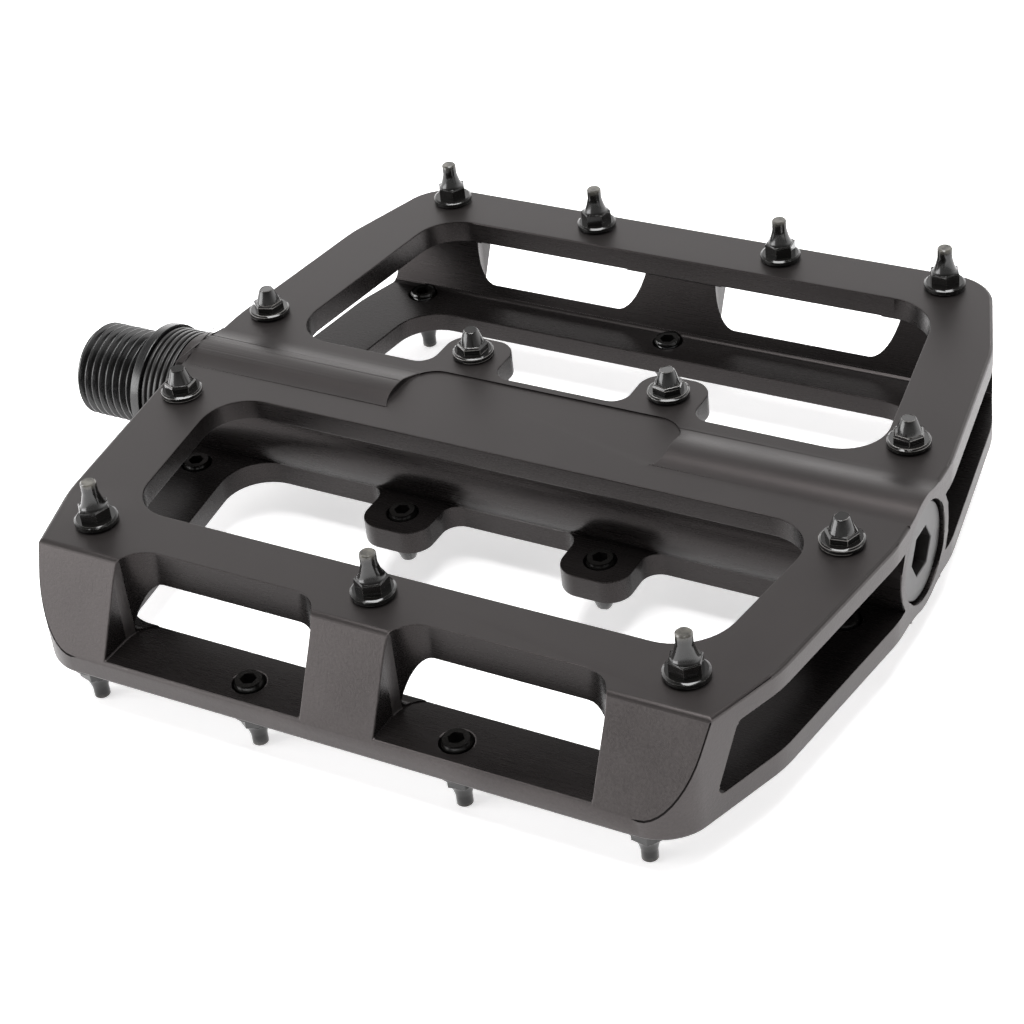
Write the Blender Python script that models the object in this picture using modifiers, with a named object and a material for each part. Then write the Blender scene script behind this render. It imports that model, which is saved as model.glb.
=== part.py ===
"""Flat bicycle pedal: a machined platform with traction pins, turning on a threaded spindle.

Frame: +X runs along the axle from the crank to the outboard end, +Y is the rear and +Z the top.
The origin is on the axle's axis, in the plane where the spindle's shoulder meets the crank.
The lower side is the upper side turned half a turn about X, so either face can be up.
"""
import math

import bmesh
import bpy
from mathutils import Matrix, Vector

MM = 0.001

# ---- Platform, seen from the side (Y, Z) ----
HALF_HEIGHT = 7.9 * MM        # axle to the flat face of either plate
LIP_Y = 55.2 * MM             # axle to the edge that reaches further out
SET_BACK = 6.7 * MM           # how far the opposite plate's edge stands back
LIP_HEIGHT = 3.0 * MM         # upright band along the far edge
LIP_PLATE = 3.6 * MM          # plate thickness on the side of the upright band
BACK_PLATE = 3.1 * MM         # plate thickness on the side that stands back
WALL_TOP = 4.0 * MM           # slanted wall, measured along Y under the set-back plate
WALL_FOOT = 6.6 * MM          # slanted wall, measured along Y over the lip plate
POCKET_RADIUS = 1.0 * MM      # inner corners between the plates and a slanted wall

# ---- Platform, seen from above (X, Y) ----
MIDDLE_X = 63.7 * MM          # centre of the pin pattern
CORNER_IN_X = 46.9 * MM       # from the middle to the inboard corner
CORNER_OUT_X = 47.3 * MM      # from the middle to the outboard corner
CORNER_RADIUS = 7.0 * MM
SHOULDER_SETBACK_Y = 17.7 * MM  # from the far edge to the bend in either end
SHOULDER_IN_X = 52.2 * MM
SHOULDER_OUT_X = 53.6 * MM
END_IN_X = 55.6 * MM          # from the middle to the inboard end, beside the barrel
END_OUT_X = 57.6 * MM         # from the middle to the outboard end, beside the barrel
END_HALF_Y = 10.0 * MM
BEND_RADIUS = 16.0 * MM

# ---- Openings in the plates ----
RAIL_NARROW = 9.3 * MM        # rail left along the lip edge
RAIL_WIDE = 10.5 * MM         # rail left along the set-back edge
WEB_NEAR_Y = 7.5 * MM         # axle to the opening with the tabs
WEB_FAR_Y = 9.6 * MM          # axle to the opening without tabs
SIDE_RAIL_IN = 10.5 * MM      # rail left at the inboard end
SIDE_RAIL_OUT = 9.8 * MM      # rail left at the outboard end
OPENING_RADIUS = 6.5 * MM
OPENING_RADIUS_OUT = 8.0 * MM
TAB_OFFSET_X = 15.6 * MM      # from the middle to each tab
TAB_HALF_WIDTH = 5.2 * MM
TAB_REACH_Y = 16.2 * MM
TAB_RADIUS = 3.4 * MM
TAB_FILLET = 2.6 * MM
TOOL_STEP = 0.3 * MM          # how far a cut runs past the surface that it breaks into

# ---- Windows in the slanted walls ----
WINDOW_WIDTH = 30.6 * MM
POST_WIDTH = 11.0 * MM        # post between the two windows
WINDOW_NOTCH = 3.0 * MM       # how far a window bites into the set-back plate's edge
WINDOW_RADIUS = 4.5 * MM

# ---- Barrel ----
BARREL_WALL = 1.4 * MM
CROWN_RISE = 0.7 * MM         # the barrel stands at least this far over the plates' faces
LEDGE_LENGTH = 1.5 * MM       # ledge in the bore that the bearing is pushed against
LEDGE_CLEARANCE = 1.0 * MM    # between that ledge and the spindle's shoulder
BARREL_START_X = 6.5 * MM
CROWN_FILLET = 10.0 * MM
CROWN_INSET = 0.2 * MM        # the crown stops this far inside either end
CROWN_STEPS = 5               # points on each of the crown's curves
RECESS_HALF_LENGTH = 21.5 * MM
RECESS_DEPTH = 0.2 * MM       # below the plates' faces
RECESS_MARGIN_Y = 0.9 * MM    # outside the crown's own width
RECESS_RADIUS = 4.5 * MM

# ---- Traction pins ----
PIN_SHANK_R = 2.0 * MM
PIN_FLANGE_R = 3.0 * MM
PIN_FLANGE_HEIGHT = 0.7 * MM
PIN_HEX_FLATS = 4.0 * MM
PIN_HEX_HEIGHT = 1.8 * MM
PIN_TIP_R = 1.1 * MM
PIN_FLARE_HEIGHT = 1.9 * MM
PIN_TIP_BITE = 0.85           # a tall pin's flare closes inside its round tip
PIN_TIP_COLLAR = 1.1          # a short pin's taper stops just outside its round tip
PIN_TALL = 6.6 * MM
PIN_SHORT = 4.2 * MM
PIN_END = 0.5 * MM            # threaded end left standing past the plate
PIN_KEY_FLATS = 2.0 * MM
PIN_KEY_DEPTH = 1.6 * MM
PIN_EDGE_Y = 3.9 * MM         # lip edge to the row of pins
PIN_BACK_EDGE_Y = 6.1 * MM    # set-back edge to the row of pins
PIN_LIP_OUTER_X = 41.4 * MM   # the offsets are measured from the middle
PIN_LIP_INNER_X = 15.5 * MM
PIN_BACK_OUTER_X = 43.6 * MM
PIN_END_X = 50.9 * MM
PIN_END_Y = 11.7 * MM

# ---- Spindle ----
THREAD_MAJOR_R = 7.14 * MM    # 9/16 in
THREAD_PITCH = 1.27 * MM      # 20 threads per inch
THREAD_DEPTH = 0.75 * MM
THREAD_TURNS = 8
THREAD_CHAMFER = 0.7 * MM
NECK_R = THREAD_MAJOR_R       # the crank's face passes over the thread to the shoulder
NECK_LENGTH = 1.0 * MM
FLANGE_R = 9.0 * MM
FLANGE_LENGTH = 1.5 * MM
JOURNAL_R = 6.0 * MM
TIP_R = 3.0 * MM
SHOULDER_R = 4.0 * MM
KEY_FLATS = 8.0 * MM
KEY_DEPTH = 7.0 * MM

# ---- Bush, seals, bearing, nut and cap ----
BUSH_WALL = 0.7 * MM
BUSH_LENGTH = 22.0 * MM
SEAL_LENGTH = 2.0 * MM
RIBBED_RING_R = 8.6 * MM
RIBBED_GROOVES = 4
RIBBED_GROOVE_DEPTH = 0.5 * MM
RIBBED_FLANK = 0.25           # sloped share of a groove's width, on either side
BALL_R = 1.0 * MM
BALL_COUNT = 7
RACE_WALL = 0.55 * MM         # thinnest part of either ring, behind the balls
RACE_LIP = 0.45 * MM          # how far a ring's lips stand over the bottom of its groove
BEARING_WIDTH = 5.0 * MM
SHIELD_THICKNESS = 0.4 * MM
CAGE_WALL = 0.7 * MM
CAGE_WIDTH = 2.9 * MM
WASHER_THICKNESS = 0.8 * MM
WASHER_RIM = 1.0 * MM
NUT_FLATS = 8.0 * MM
NUT_HEIGHT = 4.0 * MM
CAP_LENGTH = 6.0 * MM
CAP_WALL = 0.25 * MM          # how far the cap is wider than the bearing
CAP_RECESS = 0.6 * MM
CAP_KEY_FLATS = 6.0 * MM
CAP_KEY_DEPTH = 3.6 * MM
O_RING_SECTION_R = 0.35 * MM
O_RING_GROOVE_DEPTH = 0.7 * MM
O_RING_FROM_FACE = 2.0 * MM

# ---- Clearances ----
GAP = 0.3 * MM                # between pieces that touch or run on each other
FINE_GAP = 0.15 * MM          # inside the small bearing

# ---- Fineness ----
ROUND_SEGMENTS = 28
SMALL_SEGMENTS = 10
HOLE_SEGMENTS = 12
BALL_RINGS = 6
SECTION_SEGMENTS = 8
ARC_STEP = math.radians(18)
PAST = 2.0 * MM               # how far a cutter runs past the faces that it cuts

# ---- Sizes that follow from those above ----
SET_BACK_Y = LIP_Y - SET_BACK
BUSH_BORE_R = JOURNAL_R + GAP + BUSH_WALL + GAP
BALL_PITCH_R = TIP_R + FINE_GAP + RACE_WALL + FINE_GAP + BALL_R
BEARING_R = BALL_PITCH_R + BALL_R + FINE_GAP + RACE_WALL
BEARING_BORE_R = BEARING_R + GAP
CAP_R = BEARING_R + CAP_WALL
CAP_BORE_R = CAP_R + GAP
MIDDLE_BORE_R = JOURNAL_R + GAP
LEDGE_BORE_R = SHOULDER_R + LEDGE_CLEARANCE
BARREL_R = max(BUSH_BORE_R + BARREL_WALL, CAP_BORE_R + BARREL_WALL, HALF_HEIGHT + CROWN_RISE)
OUTBOARD_X = MIDDLE_X + END_OUT_X
CAP_FACE_X = OUTBOARD_X - CAP_RECESS
CAP_BACK_X = CAP_FACE_X - CAP_LENGTH
TIP_END_X = CAP_BACK_X - 3 * GAP
NUT_END_X = TIP_END_X - 2 * GAP
NUT_START_X = NUT_END_X - NUT_HEIGHT
WASHER_END_X = NUT_START_X - GAP
WASHER_START_X = WASHER_END_X - WASHER_THICKNESS
BEARING_END_X = WASHER_START_X - GAP
BEARING_START_X = BEARING_END_X - BEARING_WIDTH
BEARING_MIDDLE_X = BEARING_START_X + BEARING_WIDTH / 2
SEAL_START_X = BARREL_START_X + GAP
BUSH_START_X = SEAL_START_X + SEAL_LENGTH + GAP
BUSH_END_X = BUSH_START_X + BUSH_LENGTH

BLACK_ANODISED = ((0.020, 0.019, 0.019, 1.0), 0.42, 0.9)
BLACK_OXIDE = ((0.045, 0.043, 0.038, 1.0), 0.28, 1.0)
DARK_STEEL = ((0.030, 0.030, 0.031, 1.0), 0.38, 0.9)
BRIGHT_STEEL = ((0.55, 0.55, 0.56, 1.0), 0.25, 1.0)
BLACK_RUBBER = ((0.015, 0.015, 0.015, 1.0), 0.75, 0.0)
BRONZE = ((0.42, 0.27, 0.14, 1.0), 0.45, 1.0)


# ---------------------------------------------------------------- scene helpers

def clear_scene():
    """Remove every object and the collections that held them."""
    for obj in list(bpy.data.objects):
        bpy.data.objects.remove(obj, do_unlink=True)
    for collection in list(bpy.data.collections):
        bpy.data.collections.remove(collection)


def new_collection(name):
    """Add a collection to the scene."""
    collection = bpy.data.collections.new(name)
    bpy.context.scene.collection.children.link(collection)
    return collection


def new_object(name, mesh, collection):
    """Wrap a mesh in an object and put it in a collection."""
    obj = bpy.data.objects.new(name, mesh)
    collection.objects.link(obj)
    return obj


def as_cutter(obj):
    """Show an object as a wire guide that never renders."""
    obj.hide_render = True
    obj.display_type = "WIRE"
    return obj


def dress(obj, finish):
    """Give an object its own Principled material."""
    colour, roughness, metallic = finish
    material = bpy.data.materials.new(obj.name)
    material.use_nodes = True
    shader = material.node_tree.nodes["Principled BSDF"]
    shader.inputs["Base Color"].default_value = colour
    shader.inputs["Roughness"].default_value = roughness
    shader.inputs["Metallic"].default_value = metallic
    obj.data.materials.clear()
    obj.data.materials.append(material)
    obj.data.shade_smooth()
    obj.data.set_sharp_from_angle(angle=math.radians(30))
    return obj


def baked_mesh(obj, name):
    """Return an object's evaluated mesh, with coincident points welded."""
    graph = bpy.context.evaluated_depsgraph_get()
    mesh = bpy.data.meshes.new_from_object(obj.evaluated_get(graph))
    mesh.name = name
    cage = bmesh.new()
    cage.from_mesh(mesh)
    bmesh.ops.remove_doubles(cage, verts=cage.verts, dist=1e-6)
    bmesh.ops.recalc_face_normals(cage, faces=cage.faces)
    cage.to_mesh(mesh)
    cage.free()
    return mesh


def boolean(obj, other, operation):
    """Join, cut or intersect an object with another."""
    modifier = obj.modifiers.new(operation.title(), "BOOLEAN")
    modifier.operation = operation
    modifier.solver = "EXACT"
    modifier.object = other


# ---------------------------------------------------------------- shape helpers

def arc_corner(before, corner, after, radius):
    """Points of the arc that rounds one corner of an outline."""
    before, corner, after = Vector(before), Vector(corner), Vector(after)
    to_before = (before - corner).normalized()
    to_after = (after - corner).normalized()
    opening = to_before.angle(to_after)
    tangent = radius / math.tan(opening / 2)
    centre = corner + (to_before + to_after).normalized() * (radius / math.sin(opening / 2))
    start = corner + to_before * tangent - centre
    end = corner + to_after * tangent - centre
    sweep = start.angle_signed(end)
    steps = max(2, math.ceil(abs(sweep) / ARC_STEP))
    return [centre + Matrix.Rotation(-sweep * i / steps, 2) @ start for i in range(steps + 1)]


def rounded_outline(corners):
    """Outline through (x, y, radius) corners, each rounded by its own radius."""
    outline = []
    for i, (x, y, radius) in enumerate(corners):
        before = corners[i - 1][:2]
        after = corners[(i + 1) % len(corners)][:2]
        if radius:
            outline.extend(arc_corner(before, (x, y), after, radius))
        else:
            outline.append(Vector((x, y)))
    return outline


def prism(name, outline, start, end, collection, along_x=False):
    """Solid between two planes; the outline is (x, y) along Z, or (y, z) along X."""
    curve = bpy.data.curves.new(name, "CURVE")
    curve.dimensions = "2D"
    curve.fill_mode = "BOTH"
    curve.extrude = (end - start) / 2
    spline = curve.splines.new("POLY")
    spline.points.add(len(outline) - 1)
    for point, (u, v) in zip(spline.points, outline):
        point.co = (u, v, 0.0, 1.0)
    spline.use_cyclic_u = True
    guide = bpy.data.objects.new(name, curve)
    collection.objects.link(guide)
    mesh = baked_mesh(guide, name)
    bpy.data.objects.remove(guide, do_unlink=True)
    mesh.transform(Matrix.Translation((0, 0, (start + end) / 2)))
    if along_x:
        turn = Matrix(((0, 0, 1, 0), (1, 0, 0, 0), (0, 1, 0, 0), (0, 0, 0, 1)))
        mesh.transform(turn)
    return new_object(name, mesh, collection)


def turned(name, profile, collection, closed=False, segments=ROUND_SEGMENTS):
    """Solid of revolution about X from (x, radius) points, given from the +X end down."""
    mesh = bpy.data.meshes.new(name)
    edges = [(i, i + 1) for i in range(len(profile) - 1)]
    if closed:
        edges.append((len(profile) - 1, 0))
    mesh.from_pydata([(x, radius, 0.0) for x, radius in profile], edges, [])
    obj = new_object(name, mesh, collection)
    screw = obj.modifiers.new("Turn", "SCREW")
    screw.axis = "X"
    screw.steps = segments
    screw.render_steps = segments
    screw.use_merge_vertices = True
    screw.merge_threshold = 1e-5
    screw.use_smooth_shade = True
    return obj


def ring(name, start, end, inner, outer, collection):
    """Plain ring about X."""
    profile = [(end, inner), (end, outer), (start, outer), (start, inner)]
    return turned(name, profile, collection, closed=True)


def hexagon(name, levels, collection):
    """Six-sided solid about Z through (height, size across flats) levels, from the bottom up."""
    mesh = bpy.data.meshes.new(name)
    cage = bmesh.new()
    height, flats = levels[0]
    bmesh.ops.create_circle(cage, cap_ends=True, segments=6, radius=flats / math.sqrt(3),
                            matrix=Matrix.Translation((0, 0, height)))
    for i, (next_height, next_flats) in enumerate(levels[1:]):
        top = max(cage.faces, key=lambda face: face.calc_center_median().z)
        grown = bmesh.ops.extrude_face_region(cage, geom=[top])["geom"]
        corners = [item for item in grown if isinstance(item, bmesh.types.BMVert)]
        share = next_flats / flats
        bmesh.ops.scale(cage, vec=(share, share, 1), verts=corners)
        bmesh.ops.translate(cage, vec=(0, 0, next_height - height), verts=corners)
        if i > 0:
            bmesh.ops.delete(cage, geom=[top], context="FACES_ONLY")
        height, flats = next_height, next_flats
    bmesh.ops.recalc_face_normals(cage, faces=cage.faces)
    cage.to_mesh(mesh)
    cage.free()
    return new_object(name, mesh, collection)


def hexagon_along_x(name, flats, start, end, collection):
    """Six-sided bar about X between two places."""
    obj = hexagon(name, [(start, flats), (end, flats)], collection)
    obj.data.transform(Matrix.Rotation(math.radians(90), 4, "Y"))
    return obj


def flipped(points):
    """Turn (x, y) points half a turn about X, seen from above."""
    return [(x, -y, *rest) for x, y, *rest in reversed(points)]


# ---------------------------------------------------------------- platform

def plan_outline():
    """Outer edge of the platform from above."""
    shoulder_y = LIP_Y - SHOULDER_SETBACK_Y
    rear = [
        (MIDDLE_X + END_OUT_X, END_HALF_Y, BEND_RADIUS),
        (MIDDLE_X + SHOULDER_OUT_X, shoulder_y, BEND_RADIUS),
        (MIDDLE_X + CORNER_OUT_X, LIP_Y, CORNER_RADIUS),
        (MIDDLE_X - CORNER_IN_X, LIP_Y, CORNER_RADIUS),
        (MIDDLE_X - SHOULDER_IN_X, shoulder_y, BEND_RADIUS),
        (MIDDLE_X - END_IN_X, END_HALF_Y, BEND_RADIUS),
    ]
    return rounded_outline(rear + flipped(rear))


def side_outline():
    """Outer edge of the platform from the side: a leaning body with an upright band at each lip."""
    upper = [
        (-SET_BACK_Y, HALF_HEIGHT),
        (-LIP_Y, LIP_HEIGHT - HALF_HEIGHT),
        (-LIP_Y, -HALF_HEIGHT),
    ]
    return upper + [(-y, -z) for y, z in upper]


def pocket_outline(side):
    """Hollow between the plates on the front (side -1) or the rear (side +1)."""
    ceiling = HALF_HEIGHT - BACK_PLATE
    floor = LIP_PLATE - HALF_HEIGHT
    core = -BARREL_R / 2
    corners = [
        (core, ceiling, 0),
        (WALL_TOP - SET_BACK_Y, ceiling, POCKET_RADIUS),
        (WALL_FOOT - LIP_Y, floor, POCKET_RADIUS),
        (core, floor, 0),
    ]
    return [(-side * y, -side * z) for y, z in rounded_outline(corners)]


def crown_outline():
    """Section of the barrel: a round tube that runs into the plates' faces in a hollow curve."""
    gap = BARREL_R - HALF_HEIGHT
    reach = math.sqrt(gap * (BARREL_R + HALF_HEIGHT + 2 * CROWN_FILLET))
    lift = HALF_HEIGHT + CROWN_FILLET
    meet = math.atan2(reach, lift)
    half = [(0.0, BARREL_R)]
    for i in range(1, CROWN_STEPS + 1):
        angle = meet * i / CROWN_STEPS
        half.append((BARREL_R * math.sin(angle), BARREL_R * math.cos(angle)))
    for i in range(1, CROWN_STEPS + 1):
        angle = meet * (1 - i / CROWN_STEPS)
        half.append((reach - CROWN_FILLET * math.sin(angle), lift - CROWN_FILLET * math.cos(angle)))
    half.append((reach, HALF_HEIGHT - BACK_PLATE / 2))
    mirrored = [(-y, z) for y, z in reversed(half[1:])]
    return mirrored + half, reach


def opening_outline(with_tabs):
    """Opening in the upper plate: the rear one carries two tabs, the front one has none."""
    side = 1 if with_tabs else -1
    near = WEB_NEAR_Y if with_tabs else WEB_FAR_Y
    far = LIP_Y - RAIL_NARROW if with_tabs else SET_BACK_Y - RAIL_WIDE
    shoulder_y = LIP_Y - SHOULDER_SETBACK_Y

    def end_x(half_at_end, half_at_shoulder, y, rail):
        share = (y - END_HALF_Y) / (shoulder_y - END_HALF_Y)
        return half_at_end + (half_at_shoulder - half_at_end) * share - rail

    out_near = MIDDLE_X + end_x(END_OUT_X, SHOULDER_OUT_X, near, SIDE_RAIL_OUT)
    out_far = MIDDLE_X + end_x(END_OUT_X, SHOULDER_OUT_X, far, SIDE_RAIL_OUT)
    in_near = MIDDLE_X - end_x(END_IN_X, SHOULDER_IN_X, near, SIDE_RAIL_IN)
    in_far = MIDDLE_X - end_x(END_IN_X, SHOULDER_IN_X, far, SIDE_RAIL_IN)
    corners = [
        (out_near, near, OPENING_RADIUS),
        (out_far, far, OPENING_RADIUS_OUT),
        (in_far, far, OPENING_RADIUS),
        (in_near, near, OPENING_RADIUS),
    ]
    if with_tabs:
        for centre in (MIDDLE_X - TAB_OFFSET_X, MIDDLE_X + TAB_OFFSET_X):
            corners.extend([
                (centre - TAB_HALF_WIDTH, near, TAB_FILLET),
                (centre - TAB_HALF_WIDTH, TAB_REACH_Y, TAB_RADIUS),
                (centre + TAB_HALF_WIDTH, TAB_REACH_Y, TAB_RADIUS),
                (centre + TAB_HALF_WIDTH, near, TAB_FILLET),
            ])
    return rounded_outline([(x, side * y, radius) for x, y, radius in corners])


def wall_window_outline(side_x):
    """Window in the front wall, seen from above, on the inboard (-1) or outboard (+1) half."""
    near = MIDDLE_X + side_x * POST_WIDTH / 2
    far = near + side_x * WINDOW_WIDTH
    back = -SET_BACK_Y + WINDOW_NOTCH
    front = -LIP_Y - PAST
    corners = [
        (near, front, 0), (near, back, WINDOW_RADIUS),
        (far, back, WINDOW_RADIUS), (far, front, 0),
    ]
    return rounded_outline(corners)


def both_faces(cutter, body, collection):
    """Cut the body with a cutter made for the upper side, and with its twin for the lower side."""
    twin = new_object(cutter.name + "_lower", cutter.data.copy(), collection)
    twin.data.transform(Matrix.Rotation(math.pi, 4, "X"))
    for tool in (cutter, twin):
        boolean(body, as_cutter(tool), "DIFFERENCE")


def cut_openings(body, cutters):
    """Mill the openings through each plate and the windows through each slanted wall."""
    above = HALF_HEIGHT + PAST
    front_floor = HALF_HEIGHT - BACK_PLATE - TOOL_STEP
    rear_floor = HALF_HEIGHT - LIP_PLATE - TOOL_STEP
    front = prism("opening_front", opening_outline(False), front_floor, above, cutters)
    rear = prism("opening_rear", opening_outline(True), rear_floor, above, cutters)
    both_faces(front, body, cutters)
    both_faces(rear, body, cutters)
    window_floor = LIP_PLATE - HALF_HEIGHT - TOOL_STEP / 2
    for side_x, label in ((-1, "inboard"), (1, "outboard")):
        window = prism("wall_window_" + label, wall_window_outline(side_x), window_floor, above, cutters)
        both_faces(window, body, cutters)


def cut_recess(body, crown_reach, cutters):
    """Mill the shallow flat on the barrel's crown."""
    half_y = crown_reach + RECESS_MARGIN_Y
    corners = [
        (MIDDLE_X - RECESS_HALF_LENGTH, -half_y, RECESS_RADIUS),
        (MIDDLE_X + RECESS_HALF_LENGTH, -half_y, RECESS_RADIUS),
        (MIDDLE_X + RECESS_HALF_LENGTH, half_y, RECESS_RADIUS),
        (MIDDLE_X - RECESS_HALF_LENGTH, half_y, RECESS_RADIUS),
    ]
    floor = HALF_HEIGHT - RECESS_DEPTH
    recess = prism("recess", rounded_outline(corners), floor, BARREL_R + PAST, cutters)
    both_faces(recess, body, cutters)


def cut_bore(body, cutters):
    """Bore the barrel for the bush, the bearing and the cap."""
    profile = [
        (OUTBOARD_X + PAST, 0.0),
        (OUTBOARD_X + PAST, CAP_BORE_R),
        (CAP_BACK_X - GAP, CAP_BORE_R),
        (CAP_BACK_X - GAP, BEARING_BORE_R),
        (BEARING_START_X - GAP, BEARING_BORE_R),
        (BEARING_START_X - GAP, LEDGE_BORE_R),
        (BEARING_START_X - GAP - LEDGE_LENGTH, LEDGE_BORE_R),
        (BEARING_START_X - GAP - LEDGE_LENGTH, MIDDLE_BORE_R),
        (BUSH_END_X + GAP, MIDDLE_BORE_R),
        (BUSH_END_X + GAP, BUSH_BORE_R),
        (BARREL_START_X - PAST, BUSH_BORE_R),
        (BARREL_START_X - PAST, 0.0),
    ]
    bore = turned("bore", profile, cutters)
    boolean(body, as_cutter(bore), "DIFFERENCE")


def cut_pin_holes(body, cutters):
    """Drill a hole for every pin in one cut."""
    mesh = bpy.data.meshes.new("pin_holes")
    cage = bmesh.new()
    for x, y, _, depth in pin_places():
        for facing in (1, -1):
            height = depth + GAP + PAST
            middle = facing * (HALF_HEIGHT + PAST - height / 2)
            bmesh.ops.create_cone(
                cage, cap_ends=True, segments=HOLE_SEGMENTS,
                radius1=PIN_SHANK_R + GAP, radius2=PIN_SHANK_R + GAP, depth=height,
                matrix=Matrix.Translation((x, facing * y, middle)))
    cage.to_mesh(mesh)
    cage.free()
    holes = new_object("pin_holes", mesh, cutters)
    boolean(body, as_cutter(holes), "DIFFERENCE")


def make_platform(parts, cutters):
    """Platform body: one machined piece with its barrel, plates, walls, posts and tabs."""
    body = prism("platform_body", plan_outline(), -HALF_HEIGHT - PAST, HALF_HEIGHT + PAST, parts)
    reach_x = MIDDLE_X + END_OUT_X + PAST
    side = prism("side_section", side_outline(), 0.0, reach_x, cutters, along_x=True)
    boolean(body, as_cutter(side), "INTERSECT")
    for label, direction in (("front", -1), ("rear", 1)):
        hollow = prism("pocket_" + label, pocket_outline(-direction), 0.0, reach_x, cutters, along_x=True)
        boolean(body, as_cutter(hollow), "DIFFERENCE")
    profile = [(OUTBOARD_X, 0.0), (OUTBOARD_X, BARREL_R), (BARREL_START_X, BARREL_R), (BARREL_START_X, 0.0)]
    barrel = turned("barrel", profile, cutters)
    boolean(body, as_cutter(barrel), "UNION")
    section, crown_reach = crown_outline()
    inboard_x = MIDDLE_X - END_IN_X
    crown = prism("crown", section, inboard_x + CROWN_INSET, OUTBOARD_X - CROWN_INSET, cutters,
                  along_x=True)
    crown_lower = new_object("crown_lower", crown.data.copy(), cutters)
    crown_lower.data.transform(Matrix.Rotation(math.pi, 4, "X"))
    for piece in (crown, crown_lower):
        boolean(body, as_cutter(piece), "UNION")
    cut_openings(body, cutters)
    cut_recess(body, crown_reach, cutters)
    cut_bore(body, cutters)
    cut_pin_holes(body, cutters)
    return dress(body, BLACK_ANODISED)


# ---------------------------------------------------------------- traction pins

def pin_places():
    """(x, y, tall, depth) of each pin on the upper side."""
    lip_y = LIP_Y - PIN_EDGE_Y
    back_y = PIN_BACK_EDGE_Y - SET_BACK_Y
    through_lip = LIP_PLATE + PIN_END
    through_back = BACK_PLATE + PIN_END
    places = []
    for offset in (-PIN_LIP_OUTER_X, -PIN_LIP_INNER_X, PIN_LIP_INNER_X, PIN_LIP_OUTER_X):
        places.append((MIDDLE_X + offset, lip_y, True, through_lip))
    for offset in (-PIN_BACK_OUTER_X, 0.0, PIN_BACK_OUTER_X):
        places.append((MIDDLE_X + offset, back_y, True, through_back))
    for offset in (-PIN_END_X, PIN_END_X):
        places.append((MIDDLE_X + offset, PIN_END_Y, False, through_lip))
        places.append((MIDDLE_X + offset, -PIN_END_Y, False, through_back))
    for offset in (-TAB_OFFSET_X, TAB_OFFSET_X):
        places.append((MIDDLE_X + offset, PIN_END_Y, False, through_lip))
    return places


def pin_mesh(name, tall, depth, cutters):
    """Threaded pin standing on its flange at height zero: shank, flange, hexagon and tip."""
    flange_top = GAP + PIN_FLANGE_HEIGHT
    hex_top = flange_top + PIN_HEX_HEIGHT
    height = PIN_TALL if tall else PIN_SHORT
    tip_foot = hex_top if tall else flange_top
    profile = [
        (height, 0.0), (height, PIN_TIP_R), (tip_foot, PIN_TIP_R), (flange_top, PIN_TIP_R),
        (flange_top, PIN_FLANGE_R), (GAP, PIN_FLANGE_R), (GAP, PIN_SHANK_R),
        (-depth, PIN_SHANK_R), (-depth, 0.0),
    ]
    if not tall:
        profile.remove((flange_top, PIN_TIP_R))
    body = turned(name, profile, cutters, segments=SMALL_SEGMENTS)
    overlap = PIN_FLANGE_HEIGHT / 2
    levels = [(flange_top - overlap, PIN_HEX_FLATS), (hex_top, PIN_HEX_FLATS)]
    if tall:
        levels.append((hex_top + PIN_FLARE_HEIGHT, 2 * PIN_TIP_R * PIN_TIP_BITE))
    else:
        levels.append((height - overlap, 2 * PIN_TIP_R * PIN_TIP_COLLAR))
    hexagonal = hexagon(name + "_hex", levels, cutters)
    key = hexagon(name + "_key", [(-depth - PAST, PIN_KEY_FLATS), (PIN_KEY_DEPTH - depth, PIN_KEY_FLATS)],
                  cutters)
    upright = Matrix.Rotation(math.radians(90), 4, "Y")
    for piece, operation in ((hexagonal, "UNION"), (key, "DIFFERENCE")):
        piece.data.transform(upright)
        boolean(body, piece, operation)
    mesh = baked_mesh(body, name)
    mesh.transform(Matrix.Rotation(math.radians(-90), 4, "Y"))
    for piece in (body, hexagonal, key):
        bpy.data.objects.remove(piece, do_unlink=True)
    return mesh


def make_pins(parts, cutters):
    """Every traction pin, on both sides of the platform."""
    meshes = {}
    for facing, side in ((1, "upper"), (-1, "lower")):
        for i, (x, y, tall, depth) in enumerate(pin_places(), start=1):
            if (tall, depth) not in meshes:
                meshes[(tall, depth)] = pin_mesh("pin", tall, depth, cutters)
            kind = "tall" if tall else "short"
            mesh = meshes[(tall, depth)].copy()
            pin = new_object(f"pin_{side}_{kind}_{i:02d}", mesh, parts)
            pin.location = (x, facing * y, facing * HALF_HEIGHT)
            pin.rotation_euler = (0.0 if facing > 0 else math.pi, 0.0, 0.0)
            dress(pin, BLACK_OXIDE)


# ---------------------------------------------------------------- spindle and what turns on it

def thread_profile():
    """Outer side of the crank thread, from the neck to the free end, as ring grooves."""
    root = THREAD_MAJOR_R - THREAD_DEPTH
    crest = THREAD_PITCH / 8
    flank = (THREAD_PITCH - crest) / 2
    x = -NECK_LENGTH
    points = []
    for _ in range(THREAD_TURNS):
        points.extend([(x, root), (x - flank, THREAD_MAJOR_R), (x - flank - crest, THREAD_MAJOR_R)])
        x -= THREAD_PITCH
    points.append((x, root))
    points.append((x - THREAD_CHAMFER, root - THREAD_CHAMFER / 2))
    return points


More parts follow.
